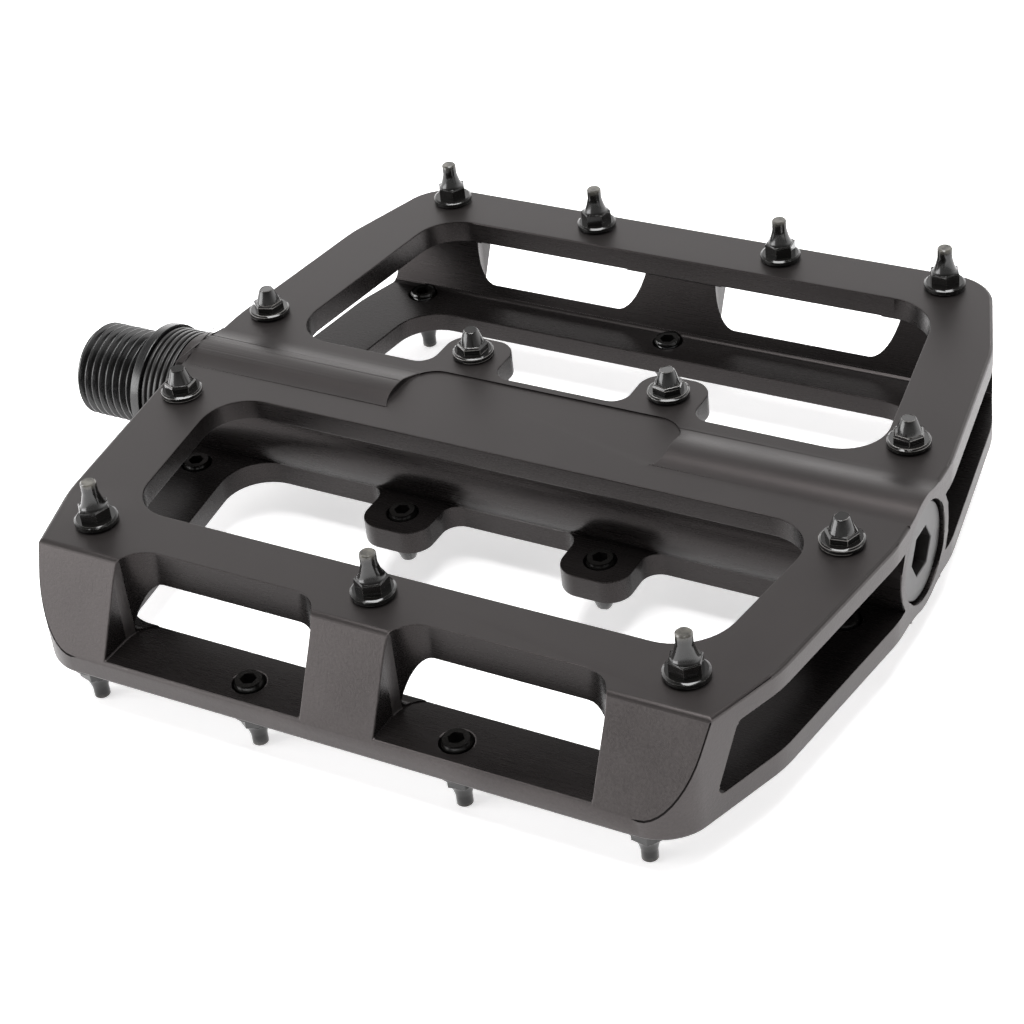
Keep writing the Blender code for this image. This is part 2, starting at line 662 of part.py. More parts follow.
def make_spindle(parts, cutters):
    """Spindle: crank thread, shoulder flange, bush journal, taper, bearing seat and tip."""
    thread = thread_profile()
    end_x = thread[-1][0]
    profile = [
        (TIP_END_X, 0.0), (TIP_END_X, TIP_R),
        (BEARING_START_X, TIP_R), (BEARING_START_X, SHOULDER_R),
        (BEARING_START_X - 2 * GAP, SHOULDER_R), (BUSH_END_X, JOURNAL_R),
        (FLANGE_LENGTH, JOURNAL_R), (FLANGE_LENGTH, FLANGE_R),
        (0.0, FLANGE_R), (0.0, NECK_R), (-NECK_LENGTH, NECK_R),
    ] + thread + [(end_x, 0.0)]
    spindle = turned("spindle", profile, parts)
    key = hexagon_along_x("spindle_key", KEY_FLATS, end_x - PAST, end_x + KEY_DEPTH, cutters)
    boolean(spindle, as_cutter(key), "DIFFERENCE")
    return dress(spindle, DARK_STEEL)


def make_ribbed_ring(parts):
    """Ribbed ring that closes the space between the shoulder flange and the barrel."""
    start = FLANGE_LENGTH + GAP
    end = BARREL_START_X - GAP
    inner = JOURNAL_R + GAP
    floor = RIBBED_RING_R - RIBBED_GROOVE_DEPTH
    pitch = (end - start) / (2 * RIBBED_GROOVES + 1)
    profile = [(end, inner), (end, RIBBED_RING_R)]
    x = end
    for _ in range(RIBBED_GROOVES):
        profile.extend([
            (x - pitch, RIBBED_RING_R), (x - pitch * (1 + RIBBED_FLANK), floor),
            (x - pitch * (2 - RIBBED_FLANK), floor), (x - pitch * 2, RIBBED_RING_R),
        ])
        x -= pitch * 2
    profile.extend([(start, RIBBED_RING_R), (start, inner)])
    return dress(turned("ribbed_ring", profile, parts, closed=True), BLACK_ANODISED)


def make_bush_and_seal(parts):
    """Plain bush that carries the load near the crank, and the lip seal in front of it."""
    inner = JOURNAL_R + GAP
    outer = inner + BUSH_WALL
    dress(ring("bush", BUSH_START_X, BUSH_END_X, inner, outer, parts), BRONZE)
    dress(ring("lip_seal", SEAL_START_X, SEAL_START_X + SEAL_LENGTH, inner, outer, parts), BLACK_RUBBER)


def race_profile(bottom, lip, back):
    """Ring section with a shallow groove for the balls; bottom, lip and back are radii."""
    start, end, middle = BEARING_START_X, BEARING_END_X, BEARING_MIDDLE_X
    half = BALL_R + FINE_GAP
    points = [(end, lip), (middle + half, lip), (middle + half / 2, bottom),
              (middle - half / 2, bottom), (middle - half, lip), (start, lip)]
    points.extend([(start, back), (end, back)])
    return points if back < bottom else points[::-1]


def make_bearing(parts, cutters):
    """Small ball bearing at the outboard end: two rings, balls, cage and two shields."""
    outer_bottom = BALL_PITCH_R + BALL_R + FINE_GAP
    inner_bottom = BALL_PITCH_R - BALL_R - FINE_GAP
    outer_lip = outer_bottom - RACE_LIP
    inner_lip = inner_bottom + RACE_LIP
    outer = turned("bearing_outer_ring", race_profile(outer_bottom, outer_lip, BEARING_R),
                   parts, closed=True)
    inner = turned("bearing_inner_ring", race_profile(inner_bottom, inner_lip, TIP_R + FINE_GAP),
                   parts, closed=True)
    for piece in (outer, inner):
        dress(piece, BRIGHT_STEEL)
    shield_inner = inner_lip + FINE_GAP
    shield_outer = outer_lip - FINE_GAP
    for label, start in (("inboard", BEARING_START_X + FINE_GAP),
                         ("outboard", BEARING_END_X - FINE_GAP - SHIELD_THICKNESS)):
        shield = ring("bearing_shield_" + label, start, start + SHIELD_THICKNESS,
                      shield_inner, shield_outer, parts)
        dress(shield, BRIGHT_STEEL)
    make_cage_and_balls(parts, cutters)


def make_cage_and_balls(parts, cutters):
    """Cage with a round pocket for each ball, and the balls themselves."""
    cage_ring = ring("bearing_cage", BEARING_MIDDLE_X - CAGE_WIDTH / 2, BEARING_MIDDLE_X + CAGE_WIDTH / 2,
                     BALL_PITCH_R - CAGE_WALL / 2, BALL_PITCH_R + CAGE_WALL / 2, parts)
    mesh = bpy.data.meshes.new("cage_pockets")
    drill = bmesh.new()
    for i in range(BALL_COUNT):
        turn = Matrix.Rotation(math.tau * i / BALL_COUNT, 4, "X")
        place = turn @ Matrix.Translation((BEARING_MIDDLE_X, 0, BALL_PITCH_R))
        bmesh.ops.create_cone(drill, cap_ends=True, segments=SMALL_SEGMENTS, radius1=BALL_R + FINE_GAP,
                              radius2=BALL_R + FINE_GAP, depth=3 * CAGE_WALL, matrix=place)
        ball_mesh = bpy.data.meshes.new(f"bearing_ball_{i + 1}")
        ball_cage = bmesh.new()
        bmesh.ops.create_uvsphere(ball_cage, u_segments=SMALL_SEGMENTS, v_segments=BALL_RINGS,
                                  radius=BALL_R)
        ball_cage.to_mesh(ball_mesh)
        ball_cage.free()
        ball = new_object(f"bearing_ball_{i + 1}", ball_mesh, parts)
        ball.location = place.translation
        dress(ball, BRIGHT_STEEL)
    drill.to_mesh(mesh)
    drill.free()
    pockets = new_object("cage_pockets", mesh, cutters)
    boolean(cage_ring, as_cutter(pockets), "DIFFERENCE")
    dress(cage_ring, BRONZE)


def make_nut_and_washer(parts, cutters):
    """Lock nut and washer that hold the bearing's inner ring on the spindle's tip."""
    hole_r = TIP_R + GAP
    washer = ring("lock_washer", WASHER_START_X, WASHER_END_X, hole_r, hole_r + WASHER_RIM, parts)
    dress(washer, BRIGHT_STEEL)
    nut = hexagon_along_x("lock_nut", NUT_FLATS, NUT_START_X, NUT_END_X, parts)
    profile = [(NUT_END_X + PAST, 0.0), (NUT_END_X + PAST, hole_r),
               (NUT_START_X - PAST, hole_r), (NUT_START_X - PAST, 0.0)]
    hole = turned("nut_hole", profile, cutters)
    boolean(nut, as_cutter(hole), "DIFFERENCE")
    dress(nut, DARK_STEEL)


def make_cap_and_o_ring(parts, cutters):
    """Threaded end cap with a key socket, and the O-ring in its groove."""
    groove_half = O_RING_SECTION_R + GAP
    groove_x = CAP_FACE_X - O_RING_FROM_FACE
    groove_r = CAP_R - O_RING_GROOVE_DEPTH
    profile = [
        (CAP_FACE_X, 0.0), (CAP_FACE_X, CAP_R),
        (groove_x + groove_half, CAP_R), (groove_x + groove_half, groove_r),
        (groove_x - groove_half, groove_r), (groove_x - groove_half, CAP_R),
        (CAP_BACK_X, CAP_R), (CAP_BACK_X, 0.0),
    ]
    cap = turned("end_cap", profile, parts)
    key = hexagon_along_x("cap_key", CAP_KEY_FLATS, CAP_FACE_X - CAP_KEY_DEPTH, CAP_FACE_X + PAST, cutters)
    boolean(cap, as_cutter(key), "DIFFERENCE")
    dress(cap, BLACK_ANODISED)
    centre_r = groove_r + FINE_GAP + O_RING_SECTION_R
    section = []
    for i in range(SECTION_SEGMENTS):
        angle = math.tau * i / SECTION_SEGMENTS
        section.append((groove_x + O_RING_SECTION_R * math.cos(angle),
                        centre_r + O_RING_SECTION_R * math.sin(angle)))
    dress(turned("cap_o_ring", section, parts, closed=True), BLACK_RUBBER)


def main():
    """Build the pedal."""
    clear_scene()
    parts = new_collection("flat_pedal")
    cutters = new_collection("cutters")
    make_platform(parts, cutters)
    make_pins(parts, cutters)
    make_spindle(parts, cutters)
    make_ribbed_ring(parts)
    make_bush_and_seal(parts)
    make_bearing(parts, cutters)
    make_nut_and_washer(parts, cutters)
    make_cap_and_o_ring(parts, cutters)


main()
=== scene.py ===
"""Looks of a flat bicycle pedal: a milled black platform with screwed-in pins on a threaded spindle.

Lengths are in metres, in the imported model's frame: +X runs along the axle from the crank to the
outboard end, +Y to the rear and +Z up. The origin lies on the axle, in the plane of the shoulder.
"""

import logging
import math
from dataclasses import dataclass, field
from enum import Enum
from functools import cached_property
from typing import Callable, Optional, Sequence

import bmesh
import bpy
from bmesh.types import BMEdge, BMesh, BMFace, BMVert
from mathutils import Matrix, Vector

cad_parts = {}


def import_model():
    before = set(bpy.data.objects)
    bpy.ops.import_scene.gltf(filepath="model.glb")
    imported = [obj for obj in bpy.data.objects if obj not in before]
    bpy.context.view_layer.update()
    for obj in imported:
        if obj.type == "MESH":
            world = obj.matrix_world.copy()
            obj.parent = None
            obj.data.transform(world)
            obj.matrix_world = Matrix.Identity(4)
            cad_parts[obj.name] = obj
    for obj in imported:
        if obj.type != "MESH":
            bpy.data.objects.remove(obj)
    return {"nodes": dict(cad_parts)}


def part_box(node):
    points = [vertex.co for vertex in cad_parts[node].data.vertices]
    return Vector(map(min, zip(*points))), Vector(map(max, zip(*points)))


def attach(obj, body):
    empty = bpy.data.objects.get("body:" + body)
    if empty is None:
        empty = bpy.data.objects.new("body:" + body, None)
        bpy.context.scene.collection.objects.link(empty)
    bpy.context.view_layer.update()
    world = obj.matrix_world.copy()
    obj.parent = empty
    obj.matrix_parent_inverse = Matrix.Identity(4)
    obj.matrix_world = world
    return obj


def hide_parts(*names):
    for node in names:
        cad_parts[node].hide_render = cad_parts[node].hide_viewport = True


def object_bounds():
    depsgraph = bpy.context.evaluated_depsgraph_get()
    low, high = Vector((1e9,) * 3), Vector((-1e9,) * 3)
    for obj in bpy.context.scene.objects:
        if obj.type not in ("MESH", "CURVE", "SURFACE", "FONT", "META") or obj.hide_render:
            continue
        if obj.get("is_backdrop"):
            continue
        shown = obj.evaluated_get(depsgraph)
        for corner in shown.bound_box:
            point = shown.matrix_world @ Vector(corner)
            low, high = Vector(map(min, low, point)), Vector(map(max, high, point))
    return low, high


LOG = logging.getLogger("pedal")

MM = 0.001
WELD = 1e-6                     # points closer than this are one
ARC_STEP = math.radians(7.5)    # turn between the points of a rounded corner
ROUND_STEPS = 96                # sides of a large turned piece
SMALL_STEPS = 48                # sides of a pin or another small turned piece
SHARP = math.radians(28)        # edges that turn more than this are softened
SMOOTH = math.radians(44)       # edges that turn less than this are shaded smooth

Profile = Sequence[tuple[float, float]]
Colour = tuple[float, float, float]


class Shape(Enum):
    """What a tool does to the body that it meets."""

    JOIN = "UNION"
    CUT = "DIFFERENCE"
    KEEP = "INTERSECT"


class Zone(Enum):
    """Finishes of the platform, by their place in its list of materials."""

    PLATE = 0
    # inner walls, pocket floors and barrel: real milling lines, with reflections dimmed as painted shade
    MILLED_AND_SHADED = 1
    BLASTED = 2
    EDGE = 3
    # the groove's faces, near-black and weakly reflecting: painted shade in the groove
    SHADED_GROOVE = 4


# ---------------------------------------------------------------- mesh tools

def weld(bm: BMesh) -> BMesh:
    """Join coincident points and turn every face outwards.

    Args:
        bm: The mesh, changed in place.

    Returns:
        The same mesh.
    """
    bmesh.ops.remove_doubles(bm, verts=bm.verts, dist=WELD)
    bmesh.ops.dissolve_degenerate(bm, edges=bm.edges, dist=WELD)
    bmesh.ops.recalc_face_normals(bm, faces=bm.faces)
    return bm


def turned(profile: Profile, steps: int = ROUND_STEPS, closed: bool = False) -> BMesh:
    """Turn a profile about the X axis.

    Args:
        profile: (x, radius) points along the outside.
        steps: Number of sides.
        closed: Whether the last point joins the first, as on a ring.

    Returns:
        The turned mesh.
    """
    bm = bmesh.new()
    points = [bm.verts.new((x, 0.0, radius)) for x, radius in profile]
    ends = points[1:] + points[:1] if closed else points[1:]
    edges = [bm.edges.new(pair) for pair in zip(points, ends)]
    bmesh.ops.spin(bm, geom=points + edges, cent=(0, 0, 0), axis=(1, 0, 0), dvec=(0, 0, 0),
                   angle=math.tau, steps=steps, use_merge=True, use_duplicate=False)
    return weld(bm)


def slab(corners: Sequence[tuple[float, float, float]], low: float, high: float) -> BMesh:
    """Extrude a flat outline with rounded corners upwards.

    Args:
        corners: (x, y, radius) of each corner.
        low: Height of the underside.
        high: Height of the top.

    Returns:
        The closed mesh.
    """
    bm = bmesh.new()
    points = [bm.verts.new((x, y, low)) for x, y, _ in corners]
    bm.faces.new(points)
    for i, (vert, (x, y, radius)) in enumerate(zip(points, corners)):
        if radius:
            back = Vector(corners[i - 1][:2]) - Vector((x, y))
            ahead = Vector(corners[(i + 1) % len(corners)][:2]) - Vector((x, y))
            opening = back.angle(ahead)
            segments = max(2, math.ceil((math.pi - opening) / ARC_STEP))
            bmesh.ops.bevel(bm, geom=[vert], offset=radius / math.tan(opening / 2), offset_type="OFFSET",
                            segments=segments, profile=0.5, affect="VERTICES", clamp_overlap=False,
                            material=-1)
    grown = bmesh.ops.extrude_face_region(bm, geom=bm.faces[:])["geom"]
    raised = [item for item in grown if isinstance(item, BMVert)]
    bmesh.ops.translate(bm, vec=(0, 0, high - low), verts=raised)
    return weld(bm)


def along_x(bm: BMesh) -> BMesh:
    """Lay a slab drawn as (y, z) corners on its side, so that its height runs along X."""
    bm.transform(Matrix(((0, 0, 1, 0), (1, 0, 0, 0), (0, 1, 0, 0), (0, 0, 0, 1))))
    return bm


def hexagon(levels: Profile) -> BMesh:
    """Loft a six-sided bar about Z.

    Args:
        levels: (height, size across flats) from the bottom up.

    Returns:
        The closed mesh.
    """
    bm = bmesh.new()
    height, flats = levels[0]
    bmesh.ops.create_circle(bm, cap_ends=True, segments=6, radius=flats / math.sqrt(3),
                            matrix=Matrix.Translation((0, 0, height)))
    top = next(iter(bm.faces))
    for i, (next_height, next_flats) in enumerate(levels[1:]):
        grown = bmesh.ops.extrude_face_region(bm, geom=[top])["geom"]
        corners = [item for item in grown if isinstance(item, BMVert)]
        share = next_flats / flats
        bmesh.ops.scale(bm, vec=(share, share, 1), verts=corners)
        bmesh.ops.translate(bm, vec=(0, 0, next_height - height), verts=corners)
        if i:
            bmesh.ops.delete(bm, geom=[top], context="FACES_ONLY")
        top = next(item for item in grown if isinstance(item, BMFace))
        height, flats = next_height, next_flats
    return weld(bm)


def turned_over(bm: BMesh) -> BMesh:
    """Copy a mesh made for the upper side to the lower side, half a turn about X."""
    twin = bm.copy()
    twin.transform(Matrix.Rotation(math.pi, 4, "X"))
    return twin


def combine(body: BMesh, steps: Sequence[tuple[Shape, BMesh]]) -> BMesh:
    """Work a body with closed tools, in order, and clean the flats that are left.

    Args:
        body: The mesh to work on, freed here.
        steps: What each tool does, and the tool, freed here.

    Returns:
        The new mesh.
    """
    def stand_in(bm: BMesh) -> bpy.types.Object:
        """Wrap a mesh in an object for as long as the work takes."""
        mesh = bpy.data.meshes.new("work")
        bm.to_mesh(mesh)
        bm.free()
        obj = bpy.data.objects.new("work", mesh)
        bpy.context.scene.collection.objects.link(obj)
        return obj

    worked = stand_in(body)
    tools = [stand_in(tool) for _, tool in steps]
    for (shape, _), tool in zip(steps, tools):
        modifier = worked.modifiers.new("work", "BOOLEAN")
        modifier.operation = shape.value
        modifier.solver = "EXACT"
        modifier.object = tool
    graph = bpy.context.evaluated_depsgraph_get()
    mesh = bpy.data.meshes.new_from_object(worked.evaluated_get(graph))
    result = bmesh.new()
    result.from_mesh(mesh)
    bpy.data.meshes.remove(mesh)
    for obj in [worked, *tools]:
        bpy.data.meshes.remove(obj.data)
    weld(result)
    bmesh.ops.dissolve_limit(result, angle_limit=math.radians(0.3), use_dissolve_boundaries=False,
                             verts=result.verts, edges=result.edges, delimit=set())
    return result


def soften(bm: BMesh, width: float, segments: int = 2, angle: float = SHARP,
           where: Optional[Callable[[BMEdge], bool]] = None, clamp: bool = True) -> list[BMFace]:
    """Round off the sharp edges of a mesh.

    Args:
        bm: The mesh, changed in place.
        width: Width of the rounding on either side of an edge.
        segments: Facets across the rounding.
        angle: Edges that turn less than this are left alone.
        where: A further test that an edge has to pass.
        clamp: Whether roundings are kept from meeting.

    Returns:
        The faces of the roundings.
    """
    sharp = {edge for edge in bm.edges
             if edge.is_manifold and edge.calc_face_angle(0.0) > angle and (where is None or where(edge))}
    tight = {vert for vert in bm.verts
             if any(edge not in sharp and edge.calc_length() < width * 1.3 for edge in vert.link_edges)}
    edges = [edge for edge in bm.edges if edge in sharp and tight.isdisjoint(edge.verts)]
    made = bmesh.ops.bevel(bm, geom=edges, offset=width, offset_type="OFFSET", segments=segments,
                           profile=0.5, affect="EDGES", clamp_overlap=clamp, loop_slide=True, material=-1)
    return made["faces"]


def place(bm: BMesh, name: str, body: str, materials: Sequence[bpy.types.Material],
          replaced: Sequence[str]) -> bpy.types.Object:
    """Turn a finished mesh into a piece that rides on its body.

    Args:
        bm: The mesh, freed here.
        name: Name of the piece.
        body: CAD body that it moves with.
        materials: Its materials, in the order of the faces' indices.
        replaced: CAD nodes that it stands for.

    Returns:
        The new object.
    """
    mesh = bpy.data.meshes.new(name)
    bm.to_mesh(mesh)
    bm.free()
    for material in materials:
        mesh.materials.append(material)
    mesh.shade_smooth()
    mesh.set_sharp_from_angle(angle=SMOOTH)
    obj = bpy.data.objects.new(name, mesh)
    bpy.context.scene.collection.objects.link(obj)
    weighted = obj.modifiers.new("Weighted normals", "WEIGHTED_NORMAL")
    weighted.keep_sharp = True
    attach(obj, body)
    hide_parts(*replaced)
    LOG.info("%s: %d faces, rides on %s", name, len(mesh.polygons), body)
    return obj


# ---------------------------------------------------------------- finishes

class Tree:
    """A material's nodes, with short ways to add the usual ones."""

    def __init__(self, name: str) -> None:
        """Start a material with one Principled shader.

        Args:
            name: Name of the material.
        """
        self.material = bpy.data.materials.new(name)
        self.material.use_nodes = True
        self.nodes = self.material.node_tree.nodes
        self.links = self.material.node_tree.links
        self.shader = self.nodes["Principled BSDF"]
        self.coordinates = self.nodes.new("ShaderNodeTexCoord").outputs["Object"]

    def set(self, **values: object) -> None:
        """Set sockets of the shader; an underscore in a name stands for a space."""
        for name, value in values.items():
            self.shader.inputs[name.replace("_", " ")].default_value = value

    def noise(self, scale: float, stretch: Colour = (1.0, 1.0, 1.0), detail: float = 3.0,
              roughness: float = 0.55, distortion: float = 0.0) -> bpy.types.NodeSocket:
        """Add noise on Object coordinates.

        Args:
            scale: Cells per metre.
            stretch: Share of that scale along X, Y and Z.
            detail: Number of finer octaves.
            roughness: Strength of the finer octaves.
            distortion: How far the pattern is swirled.

        Returns:
            The noise's value.
        """
        mapping = self.nodes.new("ShaderNodeMapping")
        mapping.inputs["Scale"].default_value = stretch
        self.links.new(self.coordinates, mapping.inputs["Vector"])
        noise = self.nodes.new("ShaderNodeTexNoise")
        for name, value in (("Scale", scale), ("Detail", detail), ("Roughness", roughness),
                            ("Distortion", distortion)):
            noise.inputs[name].default_value = value
        self.links.new(mapping.outputs["Vector"], noise.inputs["Vector"])
        return noise.outputs[0]

    def spread(self, value: bpy.types.NodeSocket, low: float, high: float,
               start: float = 0.3, end: float = 0.7) -> bpy.types.NodeSocket:
        """Map a value from its usual range to another.

        Args:
            value: The value to map.
            low: Result at the start.
            high: Result at the end.
            start: Value that gives the low result.
            end: Value that gives the high result.

        Returns:
            The mapped value.
        """
        node = self.nodes.new("ShaderNodeMapRange")
        for name, number in (("From Min", start), ("From Max", end), ("To Min", low), ("To Max", high)):
            node.inputs[name].default_value = number
        self.links.new(value, node.inputs["Value"])
        return node.outputs[0]

    def maths(self, operation: str, first: bpy.types.NodeSocket,
              second: "bpy.types.NodeSocket | float") -> bpy.types.NodeSocket:
        """Combine a value with another value or a number."""
        node = self.nodes.new("ShaderNodeMath")
        node.operation = operation
        self.links.new(first, node.inputs[0])
        if isinstance(second, (int, float)):
            node.inputs[1].default_value = second
        else:
            self.links.new(second, node.inputs[1])
        return node.outputs[0]

    def blend(self, share: bpy.types.NodeSocket, first: Colour, second: Colour) -> bpy.types.NodeSocket:
        """Mix two colours by a share."""
        node = self.nodes.new("ShaderNodeMix")
        node.data_type = "RGBA"
        node.inputs[6].default_value = (*first, 1.0)
        node.inputs[7].default_value = (*second, 1.0)
        self.links.new(share, node.inputs[0])
        return node.outputs[2]

    def link(self, value: bpy.types.NodeSocket, name: str) -> None:
        """Drive one socket of the shader."""
        self.links.new(value, self.shader.inputs[name])

    def bump(self, height: bpy.types.NodeSocket, depth: float, strength: float = 1.0,
             below: Optional[bpy.types.NodeSocket] = None) -> bpy.types.NodeSocket:
        """Add relief, and drive the shader's normal with it.

        Args:
            height: Height of the relief, from 0 to 1.
            depth: Real depth at height 1.
            strength: Share of the effect.
            below: Coarser relief that this one lies on.

        Returns:
            The normal.
        """
        node = self.nodes.new("ShaderNodeBump")
        node.inputs["Strength"].default_value = strength
        node.inputs["Distance"].default_value = depth
        self.links.new(height, node.inputs["Height"])
        if below is not None:
            self.links.new(below, node.inputs["Normal"])
        self.link(node.outputs["Normal"], "Normal")
        return node.outputs["Normal"]


@dataclass(frozen=True)
class Anodised:
    """Black anodised aluminium, satin, with a grain that may be drawn out into milling lines."""

    name: str
    dark: Colour = (0.0030, 0.0026, 0.0025)
    light: Colour = (0.0066, 0.0058, 0.0056)
    roughness: tuple[float, float] = (0.36, 0.46)
    grain: float = 5200.0                        # cells per metre of the fine grain
    stretch: Colour = (1.0, 1.0, 1.0)            # share of the grain's scale along each axis
    depth: float = 0.008 * MM
    patches: float = 70.0                        # cells per metre of the slow changes in tone
    ior: float = 1.43

    def material(self) -> bpy.types.Material:
        """Build the material."""
        tree = Tree(self.name)
        tree.set(Metallic=0.0, IOR=self.ior, Specular_Tint=(1.0, 0.90, 0.89, 1.0))
        slow = tree.noise(self.patches, detail=2.0)
        fine = tree.noise(self.grain, self.stretch, detail=4.0, roughness=0.65)
        tone = tree.maths("ADD", tree.spread(slow, 0.0, 0.55), tree.spread(fine, 0.0, 0.45))
        tree.link(tree.blend(tone, self.dark, self.light), "Base Color")
        gloss = tree.maths("ADD", tree.maths("MULTIPLY", slow, 0.35), tree.maths("MULTIPLY", fine, 0.65))
        tree.link(tree.spread(gloss, *self.roughness), "Roughness")
        tree.bump(fine, self.depth)
        return tree.material


@dataclass(frozen=True)
class WornEdge:
    """Edge of the anodised metal, thinner in colour, with bare nicks here and there."""

    name: str = "worn edge"
    kept: Colour = (0.010, 0.0092, 0.009)
    bare: Colour = (0.10, 0.095, 0.09)
    nicks: float = 900.0                         # cells per metre

    def material(self) -> bpy.types.Material:
        """Build the material."""
        tree = Tree(self.name)
        tree.set(Metallic=0.0, IOR=1.47, Specular_Tint=(1.0, 0.92, 0.91, 1.0))
        nick = tree.noise(self.nicks, detail=4.0, roughness=0.7)
        share = tree.spread(nick, 0.0, 0.8, 0.60, 0.78)
        tree.link(tree.blend(share, self.kept, self.bare), "Base Color")
        tree.link(tree.spread(nick, 0.48, 0.32), "Roughness")
        tree.bump(nick, 0.02 * MM, 0.6)
        return tree.material


@dataclass(frozen=True)
class BlackOxide:
    """Oiled black oxide on steel, glossy, worn to a paler metal towards a pin's tip."""

    name: str = "black oxide"
    dark: Colour = (0.0045, 0.0043, 0.0040)
    worn: Colour = (0.095, 0.090, 0.078)
    wear_from: float = 13.6 * MM                 # distance from the axle's plane where wear starts
    wear_to: float = 14.5 * MM

    def material(self) -> bpy.types.Material:
        """Build the material."""
        tree = Tree(self.name)
        tree.set(Metallic=0.0, IOR=1.52)
        fine = tree.noise(4200.0, detail=4.0, roughness=0.65)
        blotch = tree.noise(900.0, detail=3.0)
        split = tree.nodes.new("ShaderNodeSeparateXYZ")
        tree.links.new(tree.coordinates, split.inputs[0])
        height = tree.maths("ABSOLUTE", split.outputs[2], 0.0)
        rise = tree.spread(height, 0.0, 0.75, self.wear_from, self.wear_to)
        wear = tree.maths("MULTIPLY", rise, tree.spread(blotch, 0.35, 1.25, 0.35, 0.65))
        tree.link(tree.blend(wear, self.dark, self.worn), "Base Color")
        tree.link(tree.spread(fine, 0.09, 0.20), "Roughness")
        tree.bump(fine, 0.003 * MM)
        return tree.material


@dataclass(frozen=True)
class Turned:
    """Turned metal: fine rings round the X axis over a blotchy tone."""

    name: str
    dark: Colour
    light: Colour
    metallic: float = 0.6
    roughness: tuple[float, float] = (0.30, 0.42)
    rings: float = 9000.0                        # cells per metre along the axle
    depth: float = 0.006 * MM
    ior: float = 1.5

    def material(self) -> bpy.types.Material:
        """Build the material."""
        tree = Tree(self.name)
        tree.set(Metallic=self.metallic, IOR=self.ior)
        ring = tree.noise(self.rings, (1.0, 0.004, 0.004), detail=3.0)
        blotch = tree.noise(260.0, detail=3.0)
        tone = tree.maths("ADD", tree.spread(ring, 0.0, 0.5), tree.spread(blotch, 0.0, 0.5))
        tree.link(tree.blend(tone, self.dark, self.light), "Base Color")
        tree.link(tree.spread(tree.maths("ADD", tree.maths("MULTIPLY", ring, 0.5),
                                         tree.maths("MULTIPLY", blotch, 0.5)), *self.roughness), "Roughness")
        tree.bump(ring, self.depth)
        return tree.material


@dataclass(frozen=True)
class Rubber:
    """Matt black rubber with a fine grain."""

    name: str = "rubber"

    def material(self) -> bpy.types.Material:
        """Build the material."""
        tree = Tree(self.name)
        tree.set(Metallic=0.0, IOR=1.5)
        grain = tree.noise(6000.0, detail=4.0)
        tree.link(tree.blend(tree.spread(grain, 0.0, 1.0), (0.010, 0.010, 0.010), (0.022, 0.022, 0.022)),
                  "Base Color")
        tree.link(tree.spread(grain, 0.62, 0.82), "Roughness")
        tree.bump(grain, 0.01 * MM)
        return tree.material


# ---------------------------------------------------------------- the pedal's pieces

